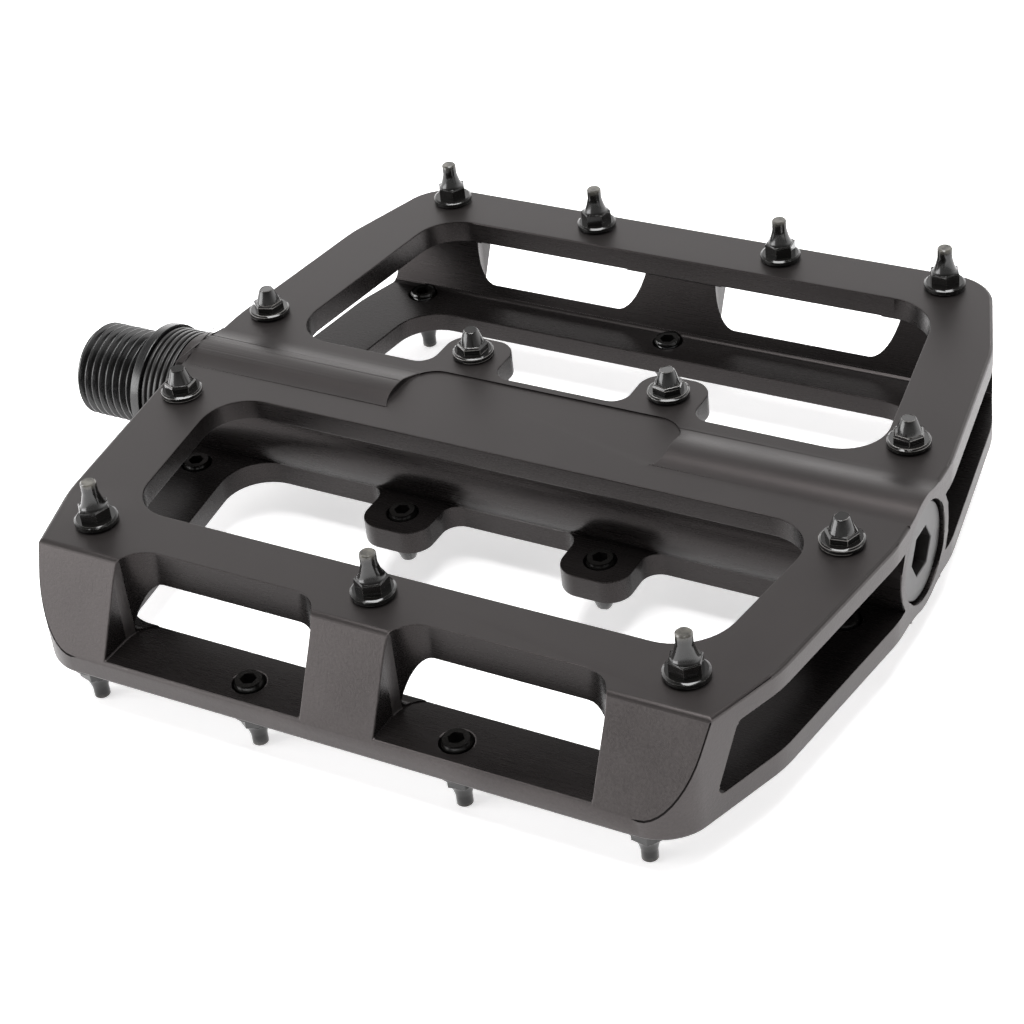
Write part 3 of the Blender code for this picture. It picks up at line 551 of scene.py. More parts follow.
@dataclass
class Platform:
    """The milled platform: two plates, slanted walls with windows, and the barrel between them."""

    node: str = "platform_body"
    body: str = "platform"
    half_height: float = 7.9 * MM       # axle to the flat face of either plate
    lip_y: float = 55.2 * MM            # axle to the edge that reaches further out
    set_back: float = 6.7 * MM
    lip_height: float = 3.0 * MM
    lip_plate: float = 3.6 * MM
    back_plate: float = 3.1 * MM
    wall_top: float = 4.0 * MM
    wall_foot: float = 6.6 * MM
    pocket_radius: float = 1.0 * MM
    middle_x: float = 63.7 * MM
    corner_in: float = 46.9 * MM
    corner_out: float = 47.3 * MM
    corner_radius: float = 7.0 * MM
    shoulder_setback: float = 17.7 * MM
    shoulder_in: float = 52.2 * MM
    shoulder_out: float = 53.6 * MM
    end_in: float = 55.6 * MM
    end_out: float = 57.6 * MM
    end_half_y: float = 10.0 * MM
    bend_radius: float = 16.0 * MM
    rail_narrow: float = 9.3 * MM
    rail_wide: float = 10.5 * MM
    web_near: float = 7.5 * MM
    web_far: float = 9.6 * MM
    side_rail_in: float = 10.5 * MM
    side_rail_out: float = 9.8 * MM
    opening_radius: float = 6.5 * MM
    opening_radius_out: float = 8.0 * MM
    tab_offset: float = 15.6 * MM
    tab_half_width: float = 5.2 * MM
    tab_reach: float = 16.2 * MM
    tab_radius: float = 3.4 * MM
    tab_fillet: float = 2.6 * MM
    window_width: float = 30.6 * MM
    post_width: float = 11.0 * MM
    window_notch: float = 3.0 * MM
    window_radius: float = 4.5 * MM
    barrel_start: float = 6.5 * MM
    crown_fillet: float = 10.0 * MM
    trim: float = 0.02 * MM             # how far both ends are faced off
    crown_steps: int = 10
    recess_half_length: float = 21.5 * MM
    recess_depth: float = 0.2 * MM
    recess_margin: float = 0.9 * MM
    recess_radius: float = 4.5 * MM
    bush_bore: float = 7.3 * MM
    middle_bore: float = 6.3 * MM
    bearing_bore: float = 6.85 * MM
    cap_bore: float = 7.1 * MM
    bush_end_x: float = 31.4 * MM
    bearing_start_x: float = 102.5 * MM
    ledge_bore: float = 5.0 * MM
    ledge_length: float = 1.5 * MM
    cap_back_x: float = 114.4 * MM
    pin_hole: float = 2.3 * MM
    past: float = 2.0 * MM              # how far a tool runs past what it cuts
    step: float = 0.3 * MM              # how far a tool runs past the face that it breaks into
    rim: float = 0.55 * MM              # rounding of the outer edges
    edge: float = 0.2 * MM              # rounding of the milled edges
    fine_edge: float = 0.05 * MM        # rounding of the edges that are too close for more
    seam_width: float = 0.15 * MM
    seam_depth: float = 0.12 * MM
    pins: list["PinPlace"] = field(default_factory=list)

    @cached_property
    def barrel_r(self) -> float:
        """Outside radius of the barrel, from the frame."""
        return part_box(self.node)[1].z

    @cached_property
    def outboard_x(self) -> float:
        """Outboard end of the platform, from the frame."""
        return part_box(self.node)[1].x

    def plan(self) -> list[tuple[float, float, float]]:
        """Corners of the platform from above."""
        shoulder_y = self.lip_y - self.shoulder_setback
        rear = [
            (self.middle_x + self.end_out, self.end_half_y, self.bend_radius),
            (self.middle_x + self.shoulder_out, shoulder_y, self.bend_radius),
            (self.middle_x + self.corner_out, self.lip_y, self.corner_radius),
            (self.middle_x - self.corner_in, self.lip_y, self.corner_radius),
            (self.middle_x - self.shoulder_in, shoulder_y, self.bend_radius),
            (self.middle_x - self.end_in, self.end_half_y, self.bend_radius),
        ]
        return rear + [(x, -y, radius) for x, y, radius in reversed(rear)]

    def section(self) -> list[tuple[float, float, float]]:
        """Corners of the platform from the side, as (y, z)."""
        back_y = self.lip_y - self.set_back
        half = [(-back_y, self.half_height, 0.0), (-self.lip_y, self.lip_height - self.half_height, 0.0),
                (-self.lip_y, -self.half_height, 0.0)]
        return half + [(-y, -z, radius) for y, z, radius in half]

    def pocket(self) -> BMesh:
        """Hollow between the plates, on the front."""
        core = -self.barrel_r / 2
        ceiling = self.half_height - self.back_plate
        floor = self.lip_plate - self.half_height
        corners = [
            (core, ceiling, 0.0),
            (self.wall_top - self.lip_y + self.set_back, ceiling, self.pocket_radius),
            (self.wall_foot - self.lip_y, floor, self.pocket_radius),
            (core, floor, 0.0),
        ]
        return along_x(slab(corners, 0.0, self.outboard_x + self.past))

    @property
    def crown_reach(self) -> float:
        """How far the crown reaches from the axle's plane."""
        gap = self.barrel_r - self.half_height
        return math.sqrt(gap * (self.barrel_r + self.half_height + 2 * self.crown_fillet))

    def crown(self) -> BMesh:
        """Rounded ridge over the barrel that runs into the plate in a hollow curve."""
        radius, height, fillet, reach = self.barrel_r, self.half_height, self.crown_fillet, self.crown_reach
        meet = math.atan2(reach, height + fillet)
        turns = [meet * i / self.crown_steps for i in range(self.crown_steps + 1)]
        half = [(radius * math.sin(a), radius * math.cos(a), 0.0) for a in turns]
        half += [(reach - fillet * math.sin(a), height + fillet - fillet * math.cos(a), 0.0)
                 for a in reversed(turns[:-1])]
        half.append((reach, height - self.back_plate / 2, 0.0))
        outline = [(-y, z, r) for y, z, r in reversed(half[1:])] + half
        return along_x(slab(outline, self.barrel_start, self.outboard_x + self.past))

    def facing_cut(self, start: float, end: float) -> BMesh:
        """Block that faces off one end of the platform, between two places along the axle."""
        wide, high = self.lip_y + self.past, self.barrel_r + self.past
        return slab([(start, -wide, 0.0), (end, -wide, 0.0), (end, wide, 0.0), (start, wide, 0.0)], -high, high)

    def opening(self, with_tabs: bool) -> BMesh:
        """Opening through the upper plate.

        Args:
            with_tabs: True for the rear one, which carries the two tabs.

        Returns:
            The tool that cuts it.
        """
        side = 1 if with_tabs else -1
        near = self.web_near if with_tabs else self.web_far
        far = self.lip_y - (self.rail_narrow if with_tabs else self.set_back + self.rail_wide)
        shoulder_y = self.lip_y - self.shoulder_setback

        def reach(at_end: float, at_shoulder: float, y: float, rail: float) -> float:
            """Distance from the middle to the opening's end at a place along Y."""
            share = (y - self.end_half_y) / (shoulder_y - self.end_half_y)
            return at_end + (at_shoulder - at_end) * share - rail

        def out_x(y: float) -> float:
            """Outboard end of the opening."""
            return self.middle_x + reach(self.end_out, self.shoulder_out, y, self.side_rail_out)

        def in_x(y: float) -> float:
            """Inboard end of the opening."""
            return self.middle_x - reach(self.end_in, self.shoulder_in, y, self.side_rail_in)

        corners = [
            (out_x(near), near, self.opening_radius), (out_x(far), far, self.opening_radius_out),
            (in_x(far), far, self.opening_radius), (in_x(near), near, self.opening_radius),
        ]
        if with_tabs:
            for centre in (self.middle_x - self.tab_offset, self.middle_x + self.tab_offset):
                left, right = centre - self.tab_half_width, centre + self.tab_half_width
                corners += [(left, near, self.tab_fillet), (left, self.tab_reach, self.tab_radius),
                            (right, self.tab_reach, self.tab_radius), (right, near, self.tab_fillet)]
        plate = self.lip_plate if with_tabs else self.back_plate
        return slab([(x, side * y, radius) for x, y, radius in corners],
                    self.half_height - plate - self.step, self.half_height + self.past)

    def window(self, side: int) -> BMesh:
        """Window through the front wall, on the inboard (-1) or outboard (+1) half."""
        near = self.middle_x + side * self.post_width / 2
        far = near + side * self.window_width
        back = self.set_back - self.lip_y + self.window_notch
        front = -self.lip_y - self.past
        corners = [(near, front, 0.0), (near, back, self.window_radius),
                   (far, back, self.window_radius), (far, front, 0.0)]
        return slab(corners, self.lip_plate - self.half_height - self.step / 2, self.half_height + self.past)

    def recess(self, crown_reach: float) -> BMesh:
        """Shallow flat milled on the crown."""
        half_x, half_y = self.recess_half_length, crown_reach + self.recess_margin
        corners = [(self.middle_x + sx * half_x, sy * half_y, self.recess_radius)
                   for sx, sy in ((-1, -1), (1, -1), (1, 1), (-1, 1))]
        return slab(corners, self.half_height - self.recess_depth, self.barrel_r + self.past)

    def bore(self) -> BMesh:
        """Stepped bore for the bush, the bearing and the cap."""
        end, start = self.outboard_x + self.past, self.barrel_start - self.past
        steps = [(end, self.cap_bore), (self.cap_back_x, self.bearing_bore),
                 (self.bearing_start_x, self.ledge_bore),
                 (self.bearing_start_x - self.ledge_length, self.middle_bore),
                 (self.bush_end_x, self.bush_bore)]
        profile = [(end, 0.0)]
        for (x, radius), (next_x, _) in zip(steps, steps[1:] + [(start, 0.0)]):
            profile += [(x, radius), (next_x, radius)]
        return turned(profile + [(start, 0.0)])

    def pin_hole_tool(self) -> BMesh:
        """Every pin's hole, as one tool."""
        bm = bmesh.new()
        for pin in self.pins:
            length = self.past + pin.depth + self.step
            middle = pin.facing * (self.half_height + self.past - length / 2)
            bmesh.ops.create_cone(bm, cap_ends=True, segments=SMALL_STEPS // 2, radius1=self.pin_hole,
                                  radius2=self.pin_hole, depth=length,
                                  matrix=Matrix.Translation((pin.x, pin.y, middle)))
        return bm

    def blank(self) -> BMesh:
        """Leaning block with rounded outer edges, before any pocket is cut."""
        height = self.half_height + self.past
        block = slab(self.plan(), -height, height)
        lean = along_x(slab(self.section(), 0.0, self.outboard_x + self.past))
        bm = combine(block, [(Shape.KEEP, lean)])

        def at_rim(edge: BMEdge) -> bool:
            """Whether an edge bounds one of the two flat faces."""
            flat = [abs(face.normal.z) > 0.99 for face in edge.link_faces]
            return any(flat) and not all(flat)

        soften(bm, self.rim, segments=3, angle=math.radians(20), where=at_rim)
        return bm

    def score(self, bm: BMesh) -> None:
        """Cut the fine groove between each slanted face and the upright walls round its corners, and give its
        faces the near-black finish that paints shade into it.

        Args:
            bm: The milled platform, changed in place.
        """
        def leans(face: BMFace) -> bool:
            """Whether a face belongs to a slanted wall."""
            return 0.35 < abs(face.normal.z) < 0.6 and abs(face.normal.x) < 0.02

        def upright(face: BMFace) -> bool:
            """Whether a face belongs to the wall round a corner."""
            away = abs(face.calc_center_median().x - self.middle_x)
            normal = face.normal
            return abs(normal.z) < 0.02 and abs(normal.x) > 0.05 and away > self.corner_in - self.corner_radius

        seams = [edge for edge in bm.edges if len(edge.link_faces) == 2
                 and any(leans(face) for face in edge.link_faces)
                 and any(upright(face) for face in edge.link_faces)]
        made = bmesh.ops.bevel(bm, geom=seams, offset=self.seam_width, offset_type="OFFSET", segments=1,
                               profile=0.5, affect="EDGES", clamp_overlap=False, loop_slide=True, material=-1)
        strip = made["faces"]
        bmesh.ops.inset_region(bm, faces=strip, thickness=self.seam_width / 6, depth=-self.seam_depth,
                               use_even_offset=True, use_boundary=True)
        for face in strip:
            # the groove's faces take the near-black finish, painted shade in the groove
            face.material_index = Zone.SHADED_GROOVE.value

    def zone(self, face: BMFace) -> Zone:
        """Finish of a face, by its place and direction."""
        centre, normal = face.calc_center_median(), face.normal
        if abs(normal.z) > 0.6 and abs(centre.z) > self.half_height - 0.5 * MM:
            return Zone.PLATE
        outward_x = (centre.x - self.middle_x) * normal.x
        if abs(centre.x - self.middle_x) > self.corner_in and outward_x > 0 and abs(normal.z) < 0.9:
            return Zone.BLASTED
        if abs(centre.y) > self.lip_y - self.set_back - 0.1 * MM and centre.y * normal.y > 0:
            return Zone.BLASTED
        return Zone.MILLED_AND_SHADED

    def build(self) -> bpy.types.Object:
        """Mill the platform and dress it."""
        reach = self.crown_reach
        crown = self.crown()
        inboard_x = self.middle_x - self.end_in + self.trim
        outer_x = self.outboard_x + self.past
        tube = [(outer_x, 0.0), (outer_x, self.barrel_r),
                (self.barrel_start, self.barrel_r), (self.barrel_start, 0.0)]
        steps = []
        for tool in (self.pocket(), self.opening(False), self.opening(True), self.window(-1), self.window(1)):
            steps += [(Shape.CUT, turned_over(tool)), (Shape.CUT, tool)]
        steps += [(Shape.JOIN, turned_over(crown)), (Shape.JOIN, crown),
                  (Shape.CUT, self.facing_cut(-self.past, inboard_x)), (Shape.JOIN, turned(tube)),
                  (Shape.CUT, self.facing_cut(self.outboard_x - self.trim, outer_x + self.past))]
        recess = self.recess(reach)
        steps += [(Shape.CUT, turned_over(recess)), (Shape.CUT, recess),
                  (Shape.CUT, self.bore()), (Shape.CUT, self.pin_hole_tool())]
        bm = combine(self.blank(), steps)
        self.score(bm)

        def clear(edge: BMEdge) -> bool:
            """Whether an edge is clear of the grooves and of the points where the crown runs out."""
            for vert in edge.verts:
                if abs(abs(vert.co.y) - reach) < self.edge and abs(vert.co.z) > self.wall_top:
                    return False
                if any(face.material_index == Zone.SHADED_GROOVE.value for face in vert.link_faces):
                    return False
            return True

        rounded = set(soften(bm, self.edge, clamp=False, where=clear))
        rounded.update(soften(bm, self.fine_edge, where=clear))
        for face in bm.faces:
            if face.material_index != Zone.SHADED_GROOVE.value:
                face.material_index = (Zone.EDGE if face in rounded else self.zone(face)).value
        finishes = [
            Anodised("plate satin"),
            # the milling lines along X are real; the low IOR dims these inner faces as painted shade
            Anodised("milled", stretch=(0.05, 1.0, 1.0), depth=0.0025 * MM, roughness=(0.24, 0.31),
                     light=(0.0050, 0.0044, 0.0043), ior=1.34),
            Anodised("blasted", dark=(0.002, 0.0018, 0.0018), light=(0.028, 0.0255, 0.025), grain=2600.0,
                     depth=0.03 * MM, roughness=(0.36, 0.48), ior=1.47),
            WornEdge(),
            # near-black and weakly reflecting: painted shade in the groove beside the slanted faces
            Anodised("groove_painted_shade", dark=(0.001, 0.001, 0.001), light=(0.002, 0.0018, 0.0018), ior=1.2),
        ]
        return place(bm, "platform", self.body, [f.material() for f in finishes], [self.node])


@dataclass(frozen=True)
class PinPlace:
    """Where one pin stands, read from its CAD solid."""

    node: str
    x: float
    y: float
    facing: int          # +1 on the upper side, -1 on the lower side
    height: float        # from the plate's face to the tip
    depth: float         # from the plate's face to the threaded end

    @classmethod
    def read(cls, node: str, face: float) -> "PinPlace":
        """Read a pin's place from the frame.

        Args:
            node: Name of the CAD node.
            face: Height of the plates' faces.

        Returns:
            The pin's place.
        """
        low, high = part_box(node)
        facing = 1 if high.z + low.z > 0 else -1
        tip, end = (high.z, low.z) if facing > 0 else (-low.z, -high.z)
        return cls(node, (low.x + high.x) / 2, (low.y + high.y) / 2, facing, tip - face, face - end)


@dataclass
class TractionPins:
    """The screwed-in pins on both faces."""

    places: list[PinPlace]
    face: float                         # height of the plates' faces
    tall_over: float = 5.5 * MM         # a pin higher than this is a tall one
    shank_r: float = 2.0 * MM
    thread_depth: float = 0.22 * MM
    thread_pitch: float = 0.7 * MM
    lift: float = 0.3 * MM              # gap under the flange
    flange_r: float = 3.0 * MM
    flange_height: float = 0.7 * MM
    hex_flats: float = 4.0 * MM
    hex_height: float = 1.8 * MM
    tip_r: float = 1.1 * MM
    tip_chamfer: float = 0.18 * MM
    flare_height: float = 2.2 * MM
    flare_steps: int = 7
    key_flats: float = 2.0 * MM
    key_depth: float = 1.6 * MM
    low_hex_height: float = 1.0 * MM    # the same, on a short pin
    edge: float = 0.06 * MM
    turn: float = math.radians(137.5)   # each pin stops at its own turn

    def mesh(self, spot: PinPlace) -> BMesh:
        """One pin standing on its plate's face at height zero.

        Args:
            spot: The pin's place, for its height and depth.

        Returns:
            The pin about Z.
        """
        flange_top = self.lift + self.flange_height
        hex_top = flange_top + self.hex_height
        low_hex_top = flange_top + self.low_hex_height
        height, depth = spot.height, spot.depth
        tall = height > self.tall_over
        profile = [(height, 0.0), (height, self.tip_r - self.tip_chamfer),
                   (height - self.tip_chamfer, self.tip_r)]
        rim = self.flange_height * 0.45
        if tall:
            foot_r, spread = self.hex_flats * 0.47, self.flare_height
            for i in range(self.flare_steps + 1):
                share = i / self.flare_steps
                profile.append((hex_top + spread * (1 - share) ** 1.6 + 0.02 * MM,
                                self.tip_r + (foot_r - self.tip_r) * share))
            profile.append((flange_top, foot_r))
        else:
            foot_r = self.hex_flats * 0.45
            profile += [(low_hex_top, foot_r), (flange_top, foot_r)]
        profile += [(flange_top, self.flange_r - rim), (flange_top - rim * 0.55, self.flange_r),
                    (self.lift, self.flange_r), (self.lift, self.shank_r - self.thread_depth)]
        z = -0.2 * MM
        while z > self.thread_pitch * 0.8 - depth:
            profile += [(z, self.shank_r - self.thread_depth), (z - self.thread_pitch * 0.35, self.shank_r),
                        (z - self.thread_pitch * 0.55, self.shank_r)]
            z -= self.thread_pitch
        profile += [(z, self.shank_r - self.thread_depth), (-depth, self.shank_r - self.thread_depth),
                    (-depth, 0.0)]
        clean = [profile[0]]
        for point in profile[1:]:
            if point != clean[-1]:
                clean.append(point)
        body = turned(clean, SMALL_STEPS)
        upright = Matrix.Rotation(math.radians(90), 4, "Y")
        sunk = flange_top - self.flange_height / 2
        if tall:
            levels = [(sunk, self.hex_flats), (hex_top - 0.15 * MM, self.hex_flats),
                      (hex_top, self.hex_flats * 0.93)]
        else:
            levels = [(sunk, self.hex_flats), (low_hex_top - 0.1 * MM, self.hex_flats),
                      (low_hex_top + 0.15 * MM, self.hex_flats * 0.88)]
        crown = hexagon(levels)
        crown.transform(upright)
        key = hexagon([(-depth - MM, self.key_flats), (self.key_depth - depth, self.key_flats)])
        key.transform(upright)
        pin = combine(body, [(Shape.JOIN, crown), (Shape.CUT, key)])
        pin.transform(Matrix.Rotation(math.radians(-90), 4, "Y"))
        edges = soften(pin, self.edge, where=lambda edge: min(vert.co.z for vert in edge.verts) > self.lift / 2)
        for face in edges:
            face.material_index = 1
        return pin

    def build(self) -> list[bpy.types.Object]:
        """Make every pin."""
        finishes = [BlackOxide().material(), BlackOxide("rubbed oxide", dark=(0.10, 0.095, 0.09)).material()]
        kinds: dict[tuple[int, int], BMesh] = {}
        made = []
        for i, spot in enumerate(self.places):
            kind = (round(spot.height / MM * 10), round(spot.depth / MM * 10))
            if kind not in kinds:
                kinds[kind] = self.mesh(spot)
            pin = kinds[kind].copy()
            flip = Matrix.Rotation(0.0 if spot.facing > 0 else math.pi, 4, "X")
            stand = Matrix.Translation((spot.x, spot.y, spot.facing * self.face))
            pin.transform(stand @ flip @ Matrix.Rotation(self.turn * i, 4, "Z"))
            made.append(place(pin, "look_" + spot.node, "platform", finishes, [spot.node]))
        for bm in kinds.values():
            bm.free()
        return made


@dataclass
class Spindle:
    """The spindle, with a cut thread and a key socket at the crank end."""

    node: str = "spindle"
    major_r: float = 7.14 * MM
    pitch: float = 1.27 * MM
    thread_depth: float = 0.75 * MM
    turns: int = 8
    neck: float = 1.0 * MM
    flange_r: float = 9.0 * MM
    flange_length: float = 1.5 * MM
    journal_r: float = 6.0 * MM
    journal_end: float = 30.8 * MM
    shoulder_r: float = 4.0 * MM
    seat_x: float = 102.3 * MM
    tip_r: float = 3.0 * MM
    key_flats: float = 8.0 * MM
    key_depth: float = 7.0 * MM
    steps_a_turn: int = 64

    def ridge(self) -> BMesh:
        """Helical ridge of the thread, sunk a little into the core."""
        root = self.major_r - self.thread_depth
        half = self.pitch * 0.44
        bm = bmesh.new()
        section = [(-half, root - 0.15 * MM), (-half, root), (-self.pitch * 0.1, self.major_r - 0.03 * MM),
                   (-self.pitch * 0.04, self.major_r), (self.pitch * 0.04, self.major_r),
                   (self.pitch * 0.1, self.major_r - 0.03 * MM), (half, root), (half, root - 0.15 * MM)]
        start = -self.neck - self.pitch * 0.7
        points = [bm.verts.new((start + x, 0.0, r)) for x, r in section]
        face = bm.faces.new(points)
        steps = self.steps_a_turn * (self.turns + 1)
        bmesh.ops.spin(bm, geom=[face, *face.edges, *points], cent=(0, 0, 0), axis=(1, 0, 0),
                       dvec=(-self.pitch / self.steps_a_turn, 0, 0), angle=math.tau * (self.turns + 1),
                       steps=steps, use_merge=False, use_duplicate=False)
        return weld(bm)

    def build(self) -> bpy.types.Object:
        """Turn the spindle, cut its thread and its socket."""
        low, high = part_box(self.node)
        root = self.major_r - self.thread_depth
        core = [
            (high.x, 0.0), (high.x, self.tip_r - 0.4 * MM), (high.x - 0.4 * MM, self.tip_r),
            (self.seat_x, self.tip_r), (self.seat_x, self.shoulder_r),
            (self.seat_x - 0.6 * MM, self.shoulder_r), (self.journal_end, self.journal_r),
            (self.flange_length, self.journal_r), (self.flange_length, self.flange_r),
            (0.0, self.flange_r), (0.0, self.major_r), (-self.neck, self.major_r),
            (-self.neck - 0.5 * MM, root), (low.x, root), (low.x, 0.0),
        ]
        bm = turned(core)
        soften(bm, 0.14 * MM, segments=2)
        lead_x = low.x + 0.75 * MM
        envelope = turned([(0.5 * MM, 0.0), (0.5 * MM, self.flange_r), (lead_x, self.major_r + 0.4 * MM),
                           (lead_x, self.major_r), (low.x, root - 0.3 * MM), (low.x, 0.0)])
        ridge = combine(self.ridge(), [(Shape.KEEP, envelope)])
        key = hexagon([(low.x - MM, self.key_flats), (low.x + self.key_depth, self.key_flats)])
        key.transform(Matrix.Rotation(math.radians(90), 4, "Y"))
        bm = combine(bm, [(Shape.JOIN, ridge), (Shape.CUT, key)])
        finish = Turned("thread steel", (0.003, 0.003, 0.0031), (0.009, 0.009, 0.0092), metallic=0.0,
                        roughness=(0.20, 0.32), ior=1.55)
        return place(bm, "look_spindle", "spindle_assembly", [finish.material()], [self.node])


@dataclass
class RibbedRing:
    """The grooved ring between the shoulder and the barrel."""

    node: str = "ribbed_ring"
    bore_r: float = 6.3 * MM
    grooves: int = 4
    groove_depth: float = 0.5 * MM

    def build(self) -> bpy.types.Object:
        """Turn the ring and its grooves."""
        low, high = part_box(self.node)
        outer, inner = high.z, self.bore_r
        pitch = (high.x - low.x) / (2 * self.grooves + 1)
        profile = [(high.x, inner), (high.x, outer)]
        x = high.x
        for _ in range(self.grooves):
            profile += [(x - pitch, outer), (x - pitch * 1.2, outer - self.groove_depth),
                        (x - pitch * 1.8, outer - self.groove_depth), (x - pitch * 2, outer)]
            x -= pitch * 2
        profile += [(low.x, outer), (low.x, inner)]
        bm = turned(profile, closed=True)
        soften(bm, 0.07 * MM)
        finish = Turned("ring anodised", (0.005, 0.0047, 0.0046), (0.010, 0.0094, 0.0092), metallic=0.0,
                        roughness=(0.30, 0.42))
        return place(bm, "look_ribbed_ring", "platform", [finish.material()], [self.node])


@dataclass
class EndCap:
    """The screwed cap in the barrel's outboard end."""

    node: str = "end_cap"
    key_flats: float = 6.0 * MM
    key_depth: float = 3.6 * MM
    groove_from_face: float = 2.0 * MM
    groove_half: float = 0.65 * MM
    groove_depth: float = 0.7 * MM

    def build(self) -> bpy.types.Object:
        """Turn the cap and cut its groove and socket."""
        low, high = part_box(self.node)
        radius = high.z
        groove = high.x - self.groove_from_face
        groove_from, groove_to = groove + self.groove_half, groove - self.groove_half
        bottom = radius - self.groove_depth
        profile = [(high.x, 0.0), (high.x, radius), (groove_from, radius), (groove_from, bottom),
                   (groove_to, bottom), (groove_to, radius), (low.x, radius), (low.x, 0.0)]
        key = hexagon([(high.x - self.key_depth, self.key_flats), (high.x + MM, self.key_flats)])
        key.transform(Matrix.Rotation(math.radians(90), 4, "Y"))
        bm = combine(turned(profile), [(Shape.CUT, key)])
        soften(bm, 0.2 * MM)
        finish = Turned("cap anodised", (0.006, 0.0056, 0.0054), (0.012, 0.0112, 0.011), metallic=0.0,
                        roughness=(0.34, 0.44), rings=5000.0)
        return place(bm, "look_end_cap", "platform", [finish.material()], [self.node])


@dataclass
class HiddenPieces:
    """Bush, seal, bearing, nut and O-ring inside the barrel, which keep their CAD shapes."""

    def build(self, nodes: dict[str, bpy.types.Object]) -> None:
        """Dress the CAD nodes.

        Args:
            nodes: The frame's node objects.
        """
        bronze = Turned("bronze", (0.30, 0.18, 0.09), (0.48, 0.31, 0.16), metallic=1.0).material()
        steel = Turned("ground steel", (0.42, 0.42, 0.43), (0.58, 0.58, 0.59), metallic=1.0,
                       roughness=(0.18, 0.28)).material()
        plain = Turned("plain steel", (0.14, 0.14, 0.145), (0.24, 0.24, 0.245), metallic=1.0).material()
        rubber = Rubber().material()
        chosen = {"bush": bronze, "bearing_cage": bronze, "lip_seal": rubber, "cap_o_ring": rubber,
                  "lock_washer": plain, "lock_nut": plain}
        for name, obj in nodes.items():
            if obj.hide_render:
                continue
            material = chosen.get(name, steel)
            obj.data.materials.clear()
            obj.data.materials.append(material)
            LOG.info("%s: dressed", name)


# ---------------------------------------------------------------- studio

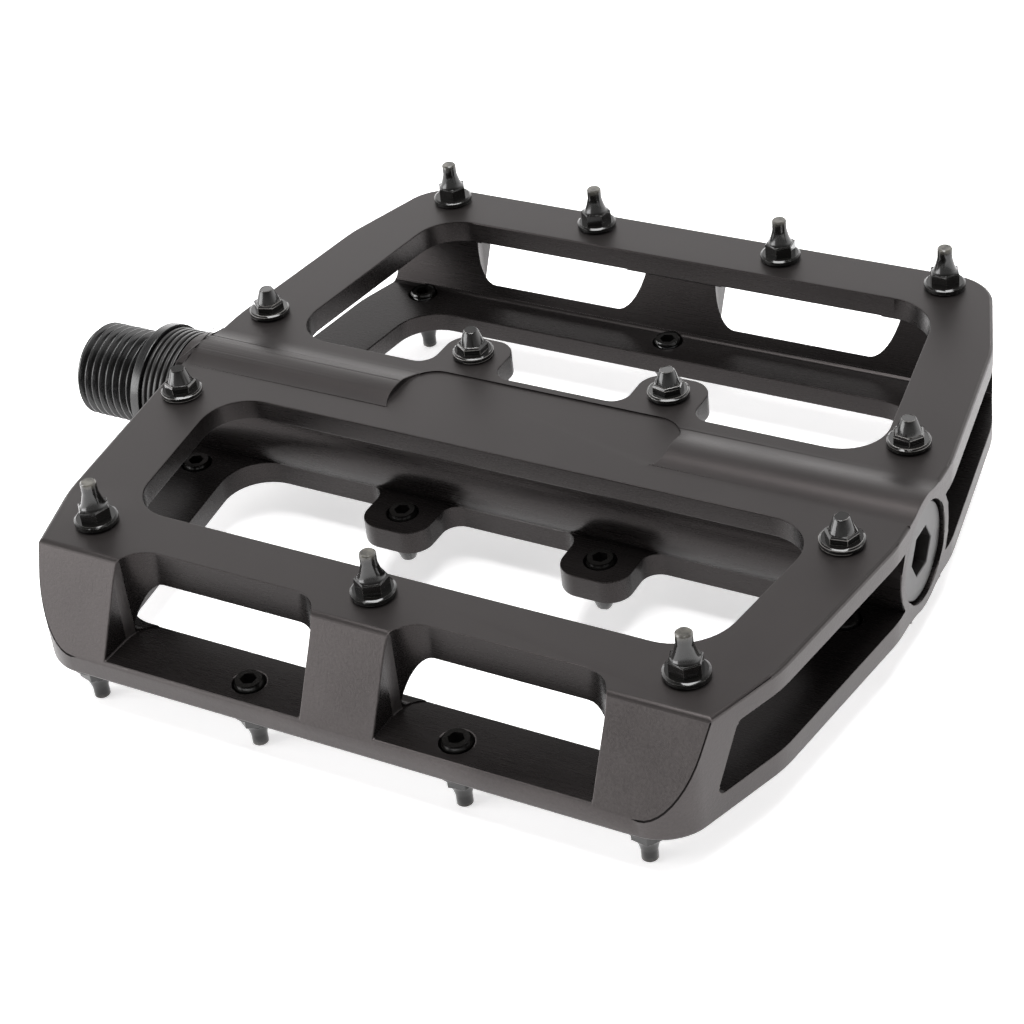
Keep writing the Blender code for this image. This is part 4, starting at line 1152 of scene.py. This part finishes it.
@dataclass
class Studio:
    """Pale floor, soft light and the camera."""

    eye: tuple[float, float, float] = (212.92 * MM, -242.95 * MM, 195.92 * MM)
    right: Colour = (0.87735, 0.47006, -0.09641)
    up: Colour = (-0.19390, 0.53109, 0.82483)
    lens: float = 86.71
    shift: tuple[float, float] = (-0.0083, -0.0720)
    table_glow: float = 0.55            # the floor is a back-lit table, so shadows stay pale

    def camera(self) -> None:
        """Stand the camera at three quarters from the front, a little above."""
        data = bpy.data.cameras.new("camera")
        data.lens = self.lens
        data.sensor_width = 36.0
        data.shift_x, data.shift_y = self.shift
        data.clip_start = 0.01
        obj = bpy.data.objects.new("camera", data)
        right = Vector(self.right).normalized()
        back = right.cross(Vector(self.up)).normalized()
        up = back.cross(right)
        turn = Matrix((right, up, back)).transposed().to_4x4()
        obj.matrix_world = Matrix.Translation(self.eye) @ turn
        bpy.context.scene.collection.objects.link(obj)
        bpy.context.scene.camera = obj

    def floor(self, height: float) -> None:
        """Lay the floor under the lower pins.

        Args:
            height: Where it lies.
        """
        bm = bmesh.new()
        bmesh.ops.create_grid(bm, x_segments=1, y_segments=1, size=4.0,
                              matrix=Matrix.Translation((0, 0, height)))
        mesh = bpy.data.meshes.new("floor")
        bm.to_mesh(mesh)
        bm.free()
        tree = Tree("pale floor")
        tree.set(Base_Color=(0.93, 0.925, 0.928, 1.0), Roughness=0.95,
                 Emission_Color=(1.0, 0.995, 0.997, 1.0), Emission_Strength=self.table_glow)
        tree.shader.inputs["Specular IOR Level"].default_value = 0.0
        mesh.materials.append(tree.material)
        obj = bpy.data.objects.new("floor", mesh)
        bpy.context.scene.collection.objects.link(obj)
        obj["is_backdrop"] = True

    def lamp(self, name: str, where: Colour, size: tuple[float, float], power: float) -> None:
        """Add a soft box aimed at the pedal.

        Args:
            name: Name of the light.
            where: Its place.
            size: Width and height of its face.
            power: Its power in watts.
        """
        data = bpy.data.lights.new(name, "AREA")
        data.shape = "RECTANGLE"
        data.size, data.size_y = size
        data.energy = power
        obj = bpy.data.objects.new(name, data)
        obj.location = where
        aim = Vector((0.064, 0.0, 0.0)) - Vector(where)
        obj.rotation_euler = aim.to_track_quat("-Z", "Y").to_euler()
        bpy.context.scene.collection.objects.link(obj)

    def world(self) -> None:
        """Light the scene softly from all round, brighter from the left and the back."""
        world = bpy.data.worlds.new("studio")
        world.use_nodes = True
        nodes, links = world.node_tree.nodes, world.node_tree.links
        background = nodes["Background"]
        direction = nodes.new("ShaderNodeTexCoord").outputs["Generated"]

        def falloff(towards: Colour, start: float, end: float, low: float, high: float) -> bpy.types.NodeSocket:
            """Brightness that changes smoothly with the direction looked in."""
            dot = nodes.new("ShaderNodeVectorMath")
            dot.operation = "DOT_PRODUCT"
            dot.inputs[1].default_value = towards
            links.new(direction, dot.inputs[0])
            spread = nodes.new("ShaderNodeMapRange")
            spread.interpolation_type = "SMOOTHSTEP"
            for name, value in (("From Min", start), ("From Max", end), ("To Min", low), ("To Max", high)):
                spread.inputs[name].default_value = value
            links.new(dot.outputs["Value"], spread.inputs["Value"])
            return spread.outputs[0]

        product = nodes.new("ShaderNodeMath")
        product.operation = "MULTIPLY"
        links.new(falloff((0.0, 0.0, 1.0), 0.15, 0.85, 2.6, 0.15), product.inputs[0])
        links.new(falloff((-0.5, 0.86, 0.0), -0.9, 0.3, 0.25, 1.0), product.inputs[1])
        background.inputs["Color"].default_value = (1.0, 0.992, 0.99, 1.0)
        links.new(product.outputs[0], background.inputs["Strength"])
        bpy.context.scene.world = world

    def build(self, floor_height: float) -> None:
        """Set up the floor, the lights and the camera."""
        self.floor(floor_height)
        self.world()
        self.lamp("front left", (-0.74, -0.64, 0.26), (0.75, 0.5), 6.5)
        self.lamp("overhead", (0.05, 0.0, 1.2), (0.8, 0.8), 24.0)
        bpy.context.scene.view_settings.view_transform = "Standard"
        self.camera()


def main() -> None:
    """Build the pedal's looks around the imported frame."""
    logging.basicConfig(level=logging.INFO, format="%(name)s: %(message)s")
    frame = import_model()
    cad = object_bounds()
    platform = Platform()
    names = sorted(name for name in frame["nodes"] if name.startswith("pin_"))
    platform.pins = [PinPlace.read(name, platform.half_height) for name in names]
    Studio().build(cad[0].z)
    platform.build()
    TractionPins(platform.pins, platform.half_height).build()
    Spindle().build()
    RibbedRing().build()
    EndCap().build()
    HiddenPieces().build(frame["nodes"])


if __name__ == "__main__":
    main()
